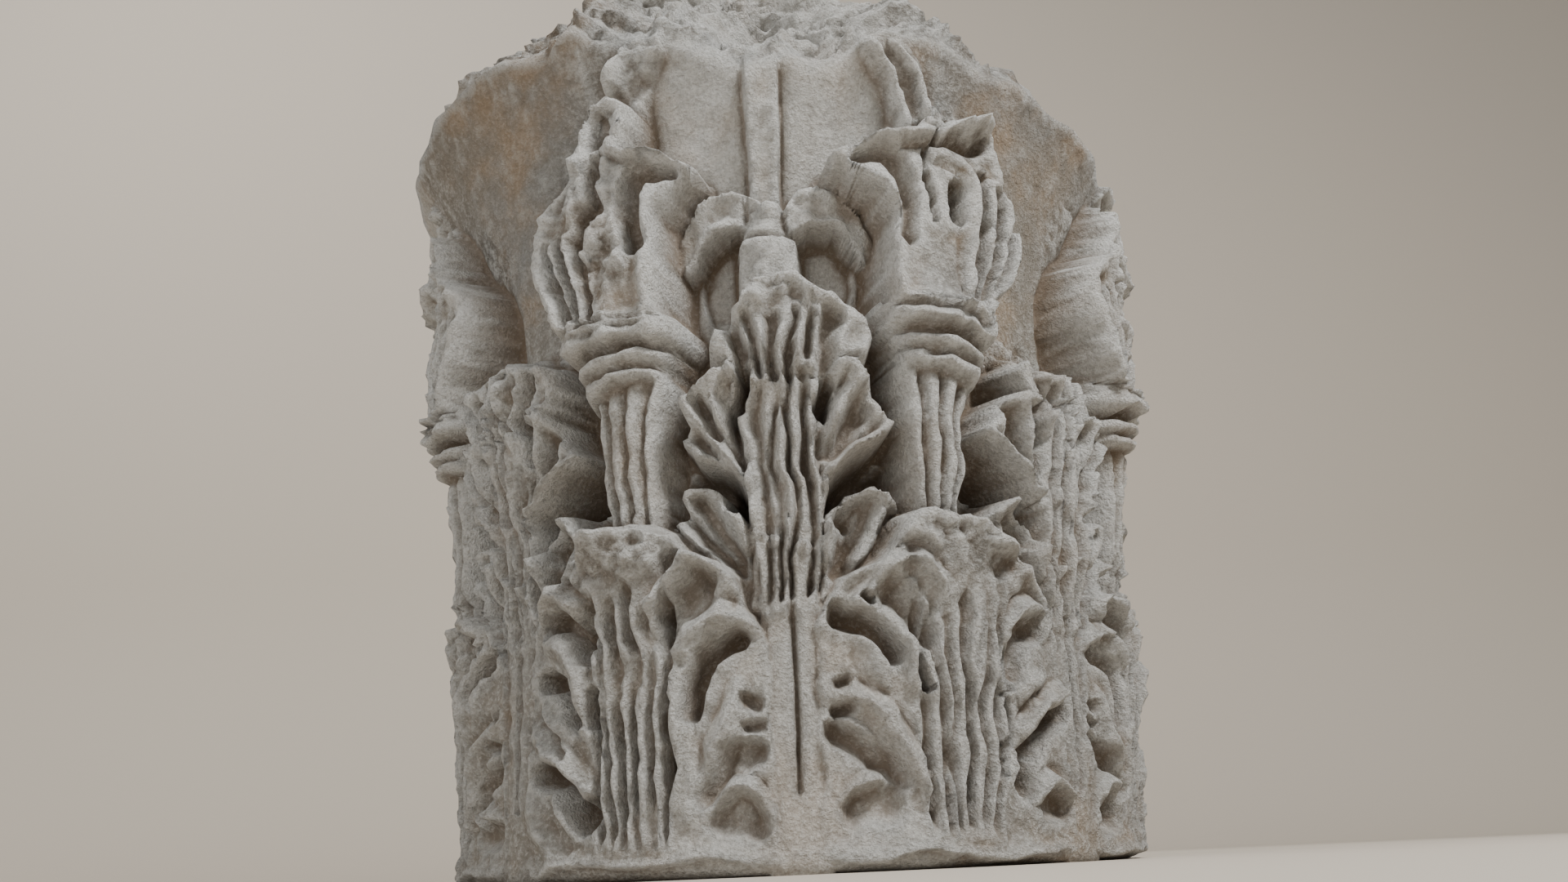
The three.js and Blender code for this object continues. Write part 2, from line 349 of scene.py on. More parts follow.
@dataclass(frozen=True)
class Plate:
    """A raised field with a carved outline, such as a lobe: a rim round a shallow bowl."""

    outline: tuple[Point, ...]
    rim: float = 3.0
    bowl: float = 3.0
    wall: float = 7.0

    def inside(self, x: Array, z: Array) -> Array:
        """Measures how far inside the outline points are.

        Args:
            x: sideways distances.
            z: heights.

        Returns:
            Each point's distance to the outline in millimetres, less than 0 outside it.
        """
        corners = np.array(self.outline, dtype=float)
        best = np.full(x.shape, FAR_AWAY)
        within = np.zeros(x.shape, dtype=bool)
        for (ax, az), (bx, bz) in zip(corners, np.roll(corners, -1, axis=0)):
            dx, dz = bx - ax, bz - az
            t = np.clip(((x - ax) * dx + (z - az) * dz) / (dx * dx + dz * dz), 0.0, 1.0)
            best = np.minimum(best, np.hypot(x - ax - t * dx, z - az - t * dz))
            if az != bz:
                crosses = (az > z) != (bz > z)
                within ^= crosses & (x < ax + (z - az) * dx / dz)
        return np.where(within, best, -best)

    def carve(self, window: Window, side: Side, envelope: Array) -> None:
        """Raises the plate.

        Args:
            window: the part of the flank it is in.
            side: the side of the form it is on.
            envelope: the surface that it is cut from.
        """
        ragged = 0.8 * np.sin(window.z / 9.0 + window.x / 13.0)
        inside = self.inside(window.turned(side), window.z) + ragged
        level = envelope + self.rim * np.exp(-((inside / 5.0) ** 2)) - self.bowl * smooth(2.0, 18.0, inside)
        window.raise_to(level + self.wall * np.clip(inside, -60.0, 0.0))


def ridge(*points: Point, width: float = 4.5, amount: float = 7.0) -> Stroke:
    """Returns a worn crest along some points."""
    return Stroke(Cut.RIDGE, Trail(points), width, amount)


def hollow(*points: Point, width: float = 9.0, amount: float = 12.0) -> Stroke:
    """Returns a soft hollow along some points."""
    return Stroke(Cut.HOLLOW, Trail(points), width, amount)


def hole(*points: Point, width: float = 3.4, amount: float = 22.0) -> Stroke:
    """Returns a drilled hole or channel along some points."""
    return Stroke(Cut.HOLE, Trail(points), width, amount)


LOWER_HALVES = (
    (
        ridge((68, 158), (60, 167), (50, 169), (38, 163), (27, 155), (21, 143), width=5, amount=9),
        hollow((64, 150), (50, 154), (36, 145), (30, 132), width=6, amount=14),
        ridge((70, 142), (50, 138), (38, 127), (32, 105), width=6, amount=9),
        hollow((80, 122), (64, 121), (50, 112), (42, 98), width=7, amount=20),
        ridge((80, 108), (66, 98), (52, 84), (42, 68), width=6, amount=6),
        hollow((80, 99), (66, 90), (52, 74), width=3, amount=6),
        ridge((82, 90), (68, 78), (50, 66), (36, 50), width=7, amount=9),
        hollow((82, 66), (64, 60), (50, 50), (42, 34), width=8, amount=21),
        ridge((86, 46), (80, 32), (70, 18), width=9, amount=8),
        ridge((62, 44), (52, 28), width=6, amount=7),
        hollow((44, 178), (32, 198), width=9, amount=10),
        hole((25, 110), (27, 93)),
        hole((33, 45), (35, 31), width=4),
    ),
    (
        ridge((22, 156), (32, 166), (42, 171), (50, 177), (62, 172), (71, 165), (66, 152), amount=9),
        hollow((28, 136), (38, 150), (56, 163), width=8, amount=13),
        ridge((39, 128), (50, 138), (61, 146), (74, 147), (88, 142), amount=9),
        hollow((76, 134), (58, 124), (48, 106), (44, 90), width=7, amount=18),
        ridge((76, 102), (68, 84), (56, 66), (48, 50), width=5, amount=7),
        hollow((80, 97), (88, 95), width=3.5, amount=7),
        hollow((80, 84), (90, 85), width=3.5, amount=7),
        hollow((50, 46), (64, 63), (84, 70), width=8, amount=11),
        ridge((54, 34), (62, 47), (73, 51), (84, 45), (91, 32), width=4, amount=7),
        hollow((64, 32), (80, 32), width=12, amount=10),
        hollow((36, 180), (26, 194), width=7, amount=6),
        ridge((33, 110), (36, 70), (40, 30), width=5, amount=4),
    ),
    (
        ridge((64, 154), (52, 168), (38, 176), (22, 168), (10, 155), amount=9),
        hollow((50, 160), (36, 150), (24, 134), width=9, amount=13),
        hole((64, 155), (62, 153), width=2.5, amount=10),
        ridge((36, 138), (34, 118), (32, 102), width=6, amount=6),
        hollow((78, 144), (60, 137), (46, 124), width=7, amount=19),
        ridge((62, 126), (52, 110), width=7, amount=6),
        hole((29, 118), (26, 102), width=2.8),
        hollow((78, 107), (84, 105), width=4, amount=8),
        hollow((74, 91), (84, 87), width=4, amount=8),
        ridge((86, 100), (70, 96), (56, 88), (46, 72), (40, 58), (28, 40), width=6, amount=8),
        hollow((84, 74), (64, 64), (50, 48), width=8, amount=12),
        hollow((54, 33), (74, 33), width=11, amount=10),
        ridge((44, 42), (62, 49), (82, 41), width=4, amount=6),
    ),
    (
        hole((36, 121), (36, 107), width=4.5, amount=16),
        hollow((70, 142), (54, 133), (44, 118), width=8, amount=13),
        ridge((36, 136), (48, 149), (64, 152), (78, 141), amount=8),
        ridge((68, 116), (54, 102), width=6, amount=6),
        ridge((46, 74), (56, 84), (66, 92), (80, 98), (93, 100), width=5, amount=9),
        hollow((90, 88), (70, 78), (54, 62), (48, 44), width=8, amount=17),
        hollow((70, 34), (84, 34), width=9, amount=9),
        ridge((56, 40), (76, 50), (92, 42), width=4, amount=6),
        hole((32, 100), (36, 80), (29, 50), width=2, amount=12),
        hollow((30, 176), (44, 184), width=8, amount=9),
    ),
)

UPPER_PLATES = (
    (
        Plate(
            (
                (0, 150), (18, 150), (27, 232), (46, 246), (62, 250), (66, 262), (56, 268), (63, 284),
                (50, 297), (36, 301), (24, 292), (0, 300),
            ),
            bowl=4.0,
        ),
        Plate(
            (
                (0, 150), (26, 152), (50, 172), (62, 180), (77, 188), (68, 197), (76, 206), (64, 212),
                (70, 224), (54, 229), (38, 221), (25, 198), (0, 190),
            ),
            bowl=5.0,
        ),
    ),
    (
        Plate(
            (
                (0, 150), (18, 150), (27, 230), (44, 241), (74, 268), (64, 276), (58, 288), (46, 300),
                (34, 300), (24, 288), (0, 300),
            ),
            bowl=4.0,
        ),
        Plate(
            (
                (0, 150), (22, 154), (56, 166), (93, 194), (80, 206), (72, 214), (58, 225), (42, 222),
                (28, 208), (20, 186), (0, 186),
            ),
            bowl=5.0,
        ),
    ),
)
UPPER_HALVES = (
    (
        ridge((26, 228), (37, 248), (50, 270), (61, 285), width=3.6, amount=9),
        ridge((28, 250), (37, 272), (44, 298), width=3.4, amount=7),
        hollow((34, 290), (31, 264), (28, 246), width=5, amount=8),
        hollow((52, 286), (42, 264), width=5, amount=9),
        hollow((60, 264), (46, 250), (34, 236), width=5, amount=9),
        hollow((64, 238), (48, 233), (34, 222), width=9, amount=22),
        ridge((75, 206), (60, 194), (44, 174), width=3.8, amount=8),
        ridge((72, 222), (58, 214), (40, 184), width=3.8, amount=7),
        ridge((30, 190), (38, 214), (50, 228), (64, 227), width=3.8, amount=9),
        hollow((58, 218), (46, 200), (34, 174), width=5, amount=9),
        hollow((70, 212), (58, 204), (42, 178), width=3.4, amount=7),
        hollow((76, 192), (60, 184), (44, 164), width=4, amount=8),
        hole((25, 298), (26, 276), width=4.4, amount=26),
        hole((37, 236), (35, 216), width=5, amount=26),
    ),
    (
        ridge((28, 226), (44, 243), (60, 254), (74, 267), width=3.6, amount=11),
        ridge((28, 248), (38, 272), (47, 299), width=3.4, amount=7),
        hollow((34, 292), (31, 266), (28, 248), width=5, amount=8),
        hollow((56, 284), (46, 266), (34, 244), width=7, amount=11),
        hollow((70, 242), (54, 238), (40, 224), (34, 208), width=9, amount=24),
        ridge((24, 178), (32, 210), (44, 223), (58, 225), (70, 214), width=4, amount=10),
        ridge((92, 195), (70, 188), (46, 168), width=4, amount=8),
        ridge((66, 220), (58, 202), (42, 172), width=3.6, amount=7),
        hollow((50, 214), (42, 196), (32, 172), width=6, amount=11),
        hollow((74, 206), (62, 192), (44, 168), width=5, amount=9),
        hole((29, 290), (27, 271), width=4.6, amount=28),
    ),
)
UPPER_HEAD = Plate(
    (
        (-38, 306), (-44, 318), (-34, 330), (-26, 338), (-22, 348), (-6, 358), (10, 356), (20, 346),
        (34, 344), (50, 330), (56, 318), (50, 304), (40, 296), (30, 286), (12, 296), (-10, 290), (-28, 284),
    ),
    rim=2.0,
    bowl=1.0,
    wall=4.5,
)
LOWER_PLATE = Plate(
    (
        (-96, 6), (-94, 138), (-74, 166), (-54, 176), (-36, 196), (-16, 204),
        (16, 200), (36, 192), (52, 178), (74, 166), (94, 138), (96, 6),
    ),
    rim=2.0,
    bowl=2.0,
    wall=3.5,
)


class Break(Enum):
    """How a calyx and its scroll broke: a rough mass, or with its leaves and both rims left."""

    ROUGH = "rough"
    LEAFY = "leafy"


CALYX_PLATES = {
    Break.ROUGH: Plate(
        (
            (34, 343), (48, 367), (57, 390), (61, 410), (54, 431), (40, 446), (25, 456), (18, 476), (13, 494),
            (5, 508), (-8, 510), (-20, 500), (-16, 483), (-9, 466), (-23, 457), (-44, 455), (-61, 447),
            (-46, 436), (-35, 416), (-33, 396), (-35, 343),
        ),
        rim=2.0,
        bowl=3.0,
    ),
    Break.LEAFY: Plate(
        (
            (26, 343), (40, 363), (54, 391), (58, 410), (51, 424), (44, 440), (43, 456), (39, 471), (34, 489),
            (20, 483), (7, 478), (-8, 485), (-16, 475), (-33, 463), (-52, 454), (-71, 447), (-57, 438),
            (-40, 428), (-33, 413), (-35, 382), (-36, 343),
        ),
        rim=2.5,
        bowl=3.0,
    ),
}
HOOD_PLATE = Plate(
    (
        (6, 422), (14, 433), (30, 439), (46, 436), (61, 424), (71, 408), (73, 393), (67, 386), (57, 399),
        (42, 412), (26, 415), (10, 407),
    ),
    rim=2.0,
    bowl=0.0,
    wall=7.0,
)
SHELTER_PLATE = Plate(((12, 346), (16, 392), (24, 412), (42, 409), (56, 396), (58, 376), (46, 346)))
CALYX_STROKES = {
    Break.ROUGH: (
        hollow((47, 412), (38, 384), (28, 350), width=3.4, amount=10),
        hollow((35, 416), (27, 384), (20, 347), width=3.4, amount=10),
        hollow((22, 410), (17, 380), (11, 347), width=3.0, amount=9),
        ridge((56, 402), (46, 378), (34, 350), width=4, amount=5),
        ridge((41, 412), (33, 380), (24, 350), width=4, amount=5),
        ridge((29, 414), (22, 382), (16, 350), width=4, amount=5),
        hole((46, 414), (44, 403), width=3.5, amount=14),
        hollow((14, 430), (16, 404), width=5, amount=12),
        hollow((-46, 445), (-28, 446), (-21, 430), (-23, 392), width=8, amount=15),
        ridge((-60, 449), (-44, 454), (-26, 458), (-6, 470), width=4, amount=9),
        hollow((4, 462), (8, 444), (4, 426), width=6, amount=8),
        ridge((-31, 432), (-28, 396), (-29, 352), width=4, amount=4),
        hollow((2, 498), (0, 480), width=6, amount=7),
    ),
    Break.LEAFY: (
        hole((-12, 458), (-13, 428), (-9, 404), width=1.8, amount=14),
        hole((-8, 470), (-7, 462), width=1.8, amount=10),
        hole((7, 432), (5, 421), (6, 409), width=5.2, amount=30),
        ridge((-9, 456), (4, 453), (15, 444), (19, 426), (16, 390), (12, 356), width=4.2, amount=7),
        hollow((28, 446), (25, 402), (17, 352), width=4, amount=10),
        hollow((41, 436), (34, 392), (24, 352), width=3.6, amount=10),
        hollow((52, 416), (43, 384), (31, 354), width=3.4, amount=10),
        ridge((35, 440), (30, 396), (21, 352), width=3.6, amount=6),
        ridge((47, 428), (39, 388), (28, 352), width=3.6, amount=6),
        ridge((57, 408), (48, 384), (35, 354), width=3.6, amount=6),
        ridge((-68, 449), (-46, 455), (-20, 465), (6, 474), (32, 486), width=4, amount=8),
        hollow((-54, 447), (-34, 446), (-27, 430), (-27, 390), width=7, amount=12),
        hollow((30, 470), (18, 464), (4, 466), width=5, amount=8),
    ),
}


@dataclass
class Bell:
    """The bell, its foot ring and its broken top."""

    bed_radius: float = 240.0
    foot_radius: float = 255.0
    foot_height: float = 22.0
    ring_inset: float = 8.0
    neck_radius: float = 236.0
    lip_radius: float = 338.0
    lip_height: float = 592.0
    flare: float = 4.5
    top_height: float = 702.0
    top_radius: float = 218.0
    top_shift: Point = (45.0, 30.0)
    steepness: float = 0.75
    bulge: float = 0.75
    bulge_swing: float = 0.3
    edge_line: tuple[Point, ...] = (
        (-180, 566), (-150, 588), (-120, 592), (-90, 590), (-72, 586), (-62, 584), (-54, 582), (-45, 580),
        (-38, 578), (-35, 572), (-31, 565), (-28, 573), (-26, 576), (-24, 564), (-20, 557), (-13, 547),
        (-10, 543), (-6, 533), (-1, 529), (2, 533), (6, 528), (10, 532), (12, 542), (16, 552), (25, 550),
        (33, 542), (37, 548), (45, 545), (56, 548), (68, 546), (90, 556), (112, 574), (135, 590), (158, 578),
        (180, 566),
    )

    def radius(self, height: Array) -> Array:
        """Returns the bell's radius at a height."""
        share = np.clip((height - self.foot_height) / (self.lip_height - self.foot_height), 0.0, 1.0)
        return self.neck_radius + (self.lip_radius - self.neck_radius) * share**self.flare

    def edge(self, bearing: Array) -> Array:
        """Works out the broken edge.

        Args:
            bearing: bearings round the block.

        Returns:
            The edge's height at each bearing.
        """
        places, heights = np.array(self.edge_line, dtype=float).T
        turn = np.radians(bearing)
        ripple = 2.2 * np.sin(23 * turn + 2.0 * np.sin(5 * turn)) * np.sin(9 * turn + 1.0)
        return np.interp(wrapped(bearing), places, heights) + ripple

    def start(self, flank: Flank) -> None:
        """Gives the flank the bell's plain shape, with the foot ring.

        Args:
            flank: the sheet, which has no shape yet.
        """
        middle, half = self.foot_height * 0.5, self.foot_height * 0.52
        ring = np.sqrt(np.clip(1.0 - ((flank.height - middle) / half) ** 2, 0, 1))
        inner = self.bed_radius - self.ring_inset
        swell = (self.foot_radius - inner) * ring**0.5
        flank.radius = np.maximum(self.radius(flank.height), inner + swell)

    def mound(self, flank: Flank, rows: int, noise: Noise) -> tuple[Array, Array]:
        """Works out the broken stone above the edge.

        Args:
            flank: the flank below it.
            rows: points from the edge to the level remnant.
            noise: the stone's roughness.

        Returns:
            The radius and height of each point, row by row.
        """
        share = np.linspace(0.0, 1.0, rows + 1)[1:, None]
        turn = np.radians(flank.bearing)[None, :]
        plain = self.radius(flank.edge)[None, :]
        proud = (flank.radius[-1][None, :] - plain) * smooth(0.05, 0.0, share)
        top = self.top_radius - self.top_shift[0] * np.sin(turn) - self.top_shift[1] * np.cos(turn)
        radius = plain + (top - plain) * share ** (self.bulge + self.bulge_swing * np.cos(2.0 * turn)) + proud
        height = flank.edge[None, :] + (self.top_height - flank.edge[None, :]) * share**self.steepness
        places = (radius * np.sin(turn), -radius * np.cos(turn), height)
        facets = 0.3 - np.abs(noise.single(places, 74.0)) - 0.4 * np.abs(noise.single(places, 31.0))
        beds = 4.0 * share + 2.2 * noise.layered(places, 88.0, 3) + 0.7 * noise.single(places, 24.0)
        step = beds - np.floor(beds)
        ledges = 12.0 * (smooth(0.0, 0.22, step) - step) * smooth(-0.5, 0.4, noise.single(places, 57.0))
        chips = 8.0 * noise.layered(places, 19.0, 3) - 7.0 * np.abs(noise.single(places, 12.0))
        ragged = 30.0 * facets + 10.0 * noise.layered(places, 62.0, 2) + ledges + chips
        ragged = ragged * smooth(0.0, 0.05, share) * smooth(1.0, 0.82, share)
        radius = radius + 0.85 * ragged - 3.0 * smooth(0.0, 0.03, share)
        return radius, np.minimum(height + 0.25 * ragged, self.top_height)


class Row(Enum):
    """The two rows of leaves."""

    LOWER = "lower"
    UPPER = "upper"


@dataclass(frozen=True)
class LeafSize:
    """Heights, radii and widths that the leaves of a row share, in millimetres."""

    foot: float
    tip: float
    foot_radius: float
    tip_radius: float
    rib_foot: float
    rib_tip: float
    break_depth: float
    break_reach: float


LEAF_SIZES = {
    Row.LOWER: LeafSize(12.0, 204.0, 258.0, 291.0, 26.0, 34.0, 42.0, 46.0),
    Row.UPPER: LeafSize(146.0, 356.0, 262.0, 309.0, 25.0, 31.0, 30.0, 44.0),
}


@dataclass
class Leaf:
    """One acanthus leaf, with its worn tip."""

    row: Row
    bearing: float
    loss: float
    left: int
    right: int
    seed: int

    @property
    def size(self) -> LeafSize:
        """The sizes of its row."""
        return LEAF_SIZES[self.row]

    def envelope(self, x: Array, z: Array) -> Array:
        """Works out the leaf's surface before its forms are cut.

        Args:
            x: sideways distances.
            z: heights.

        Returns:
            The surface's radius at each point.
        """
        size = self.size
        up = np.clip((z - size.foot) / (size.tip - size.foot), 0.0, 1.1)
        spine = size.foot_radius + (size.tip_radius - size.foot_radius) * up**1.6
        if self.row is Row.UPPER:
            return spine - 16.0 * (x / 84.0) ** 2 - 9.0 * smooth(180.0, 146.0, z)
        beside = 253.0 + 8.0 * up
        return spine - (spine - beside) * np.clip(np.abs(x) / 94.0, 0.0, 1.1) ** 2.2

    def carve(self, flank: Flank, noise: Noise) -> None:
        """Carves the leaf into the flank.

        Args:
            flank: the sheet that is carved.
            noise: the roughness of its breaks.
        """
        size = self.size
        window = flank.window(self.bearing, 118.0, size.foot - 10.0, size.tip + 20.0)
        window.waver(noise, 4.0)
        rng = np.random.default_rng(self.seed)
        envelope = self.envelope(window.x, window.z)
        halves = LOWER_HALVES if self.row is Row.LOWER else UPPER_HALVES
        cut = 0.35 * self.loss * smooth(size.tip - 90.0, size.tip, window.z)
        if self.row is Row.LOWER:
            drop = 3.0 * np.clip(window.z - (size.tip + 4.0 - self.loss), 0.0, None)
            LOWER_PLATE.carve(window, Side.RIGHT, envelope - cut - drop)
        else:
            for side, half in ((Side.LEFT, self.left), (Side.RIGHT, self.right)):
                for plate in UPPER_PLATES[half]:
                    plate.carve(window, side, envelope - cut)
            self.carve_head(window, noise)
        self.carve_ribs(window, rng, noise)
        for side, half in ((Side.LEFT, self.left), (Side.RIGHT, self.right)):
            for stroke in halves[half]:
                stroke.carve(window, side)
        self.roughen(window, noise)
        window.close()

    def carve_ribs(self, window: Window, rng: np.random.Generator, noise: Noise) -> None:
        """Cuts the fanned, wavering grooves up the middle of the leaf.

        Args:
            window: the part of the flank round the leaf.
            rng: the source of the grooves' waver.
            noise: where the grooves are worn away.
        """
        size = self.size
        kept = np.clip(0.85 + 1.1 * noise.layered(self.places(window), 30.0, 2), 0.15, 1.6)
        steps = (0.0, 0.15, 0.3, 0.45, 0.6, 0.75, 0.9)
        for share in (-0.92, -0.54, -0.18, 0.18, 0.54, 0.92):
            shift = share + rng.normal(0.0, 0.06)
            reach = rng.uniform(0.86, 1.0)
            points = tuple(
                (
                    (shift + rng.normal(0.0, 0.045)) * (size.rib_foot + (size.rib_tip - size.rib_foot) * t),
                    size.foot + 6.0 + (size.tip - size.foot - 12.0) * t * reach,
                )
                for t in steps
            )
            distance, along = Trail(points, 3).measure(window.x, window.z)
            width = rng.uniform(1.4, 3.2) + 1.6 * along
            depth = rng.uniform(4.0, 12.0) * kept * smooth(0.0, 0.06, along) * smooth(1.0, 0.86, along)
            window.radius = window.radius - depth * np.exp(-((distance / width) ** 2))
            lip = 1.8 * np.exp(-(((distance - 4.0) / 2.4) ** 2))
            window.radius = window.radius + lip * smooth(1.0, 0.7, along)

    def carve_head(self, window: Window, noise: Noise) -> None:
        """Carves the overhanging tip, with its end broken off.

        Args:
            window: the part of the flank round the leaf.
            noise: the roughness of the break.
        """
        size = self.size
        ragged = noise.layered(self.places(window), 20.0, 3)
        level = size.tip_radius - 9.0 + 0.22 * (window.z - 330.0)
        level = level - 9.0 * (window.x / 48.0) ** 2 + 5.0 * ragged
        drop = 2.2 * np.clip(window.z - (size.tip - 4.0 - self.loss) + 4.0 * ragged, 0.0, None)
        UPPER_HEAD.carve(window, Side.RIGHT, level - drop - 0.3 * self.loss)
        for side, width in ((Side.LEFT, 5.0), (Side.RIGHT, 7.0)):
            hollow((34, 330), (27, 312), (24, 294), width=width, amount=13).carve(window, side)
        for lean in (-17.0, -6.0, 6.0, 17.0):
            fold = ((0.7 * lean, 292.0), (lean, 312.0), (1.2 * lean, 330.0))
            hollow(*fold, width=3.4, amount=8).carve(window, Side.RIGHT)
            bead = ((0.7 * lean + 5.0, 300.0), (lean + 5.5, 318.0))
            ridge(*bead, width=3.6, amount=5).carve(window, Side.RIGHT)

    def roughen(self, window: Window, noise: Noise) -> None:
        """Roughens the broken end of the leaf.

        Args:
            window: the part of the flank round the leaf.
            noise: the roughness of the break.
        """
        size = self.size
        start = size.tip - 0.5 * self.loss - size.break_depth
        share = smooth(start, start + 24.0, window.z) * smooth(size.tip + 12.0, size.tip, window.z)
        share = share * smooth(size.break_reach + 14.0, size.break_reach - 8.0, np.abs(window.x))
        places = self.places(window)
        crags = 0.5 - np.abs(noise.single(places, 34.0)) - 0.5 * np.abs(noise.single(places, 13.0))
        ragged = 11.0 * crags + 3.5 * noise.layered(places, 14.0, 4)
        window.radius = window.radius + share * ragged
        window.broken = np.maximum(window.broken, share)

    @staticmethod
    def places(window: Window) -> tuple[Array, Array, Array]:
        """Returns the x, y and z coordinates of a window's points."""
        turn = np.radians(window.flank.bearing[window.columns])[None, :]
        return window.radius * np.sin(turn), -window.radius * np.cos(turn), window.z


@dataclass
class UpperStem:
    """The bare stem that carries an upper leaf up between two lower leaves."""

    bearing: float
    half_width: float = 21.0
    radius: float = 254.0
    top: float = 170.0

    def carve(self, flank: Flank) -> None:
        """Carves the stem and the drilled line down its middle.

        Args:
            flank: the sheet that is carved.
        """
        window = flank.window(self.bearing, self.half_width + 20.0, 0.0, self.top + 10.0)
        beyond = np.clip(np.abs(window.x) - self.half_width, 0.0, None)
        level = self.radius + 6.0 * window.z / self.top - 5.0 * (window.x / self.half_width) ** 4
        window.raise_to(level - 3.5 * beyond - 3.0 * np.clip(window.z - self.top, 0.0, None))
        distance, _ = Trail(((0, 44), (1.5, 90), (0, 152)), 4).measure(window.x, window.z)
        window.radius = window.radius - 5.0 * smooth(2.6, 1.0, distance)
        window.close()


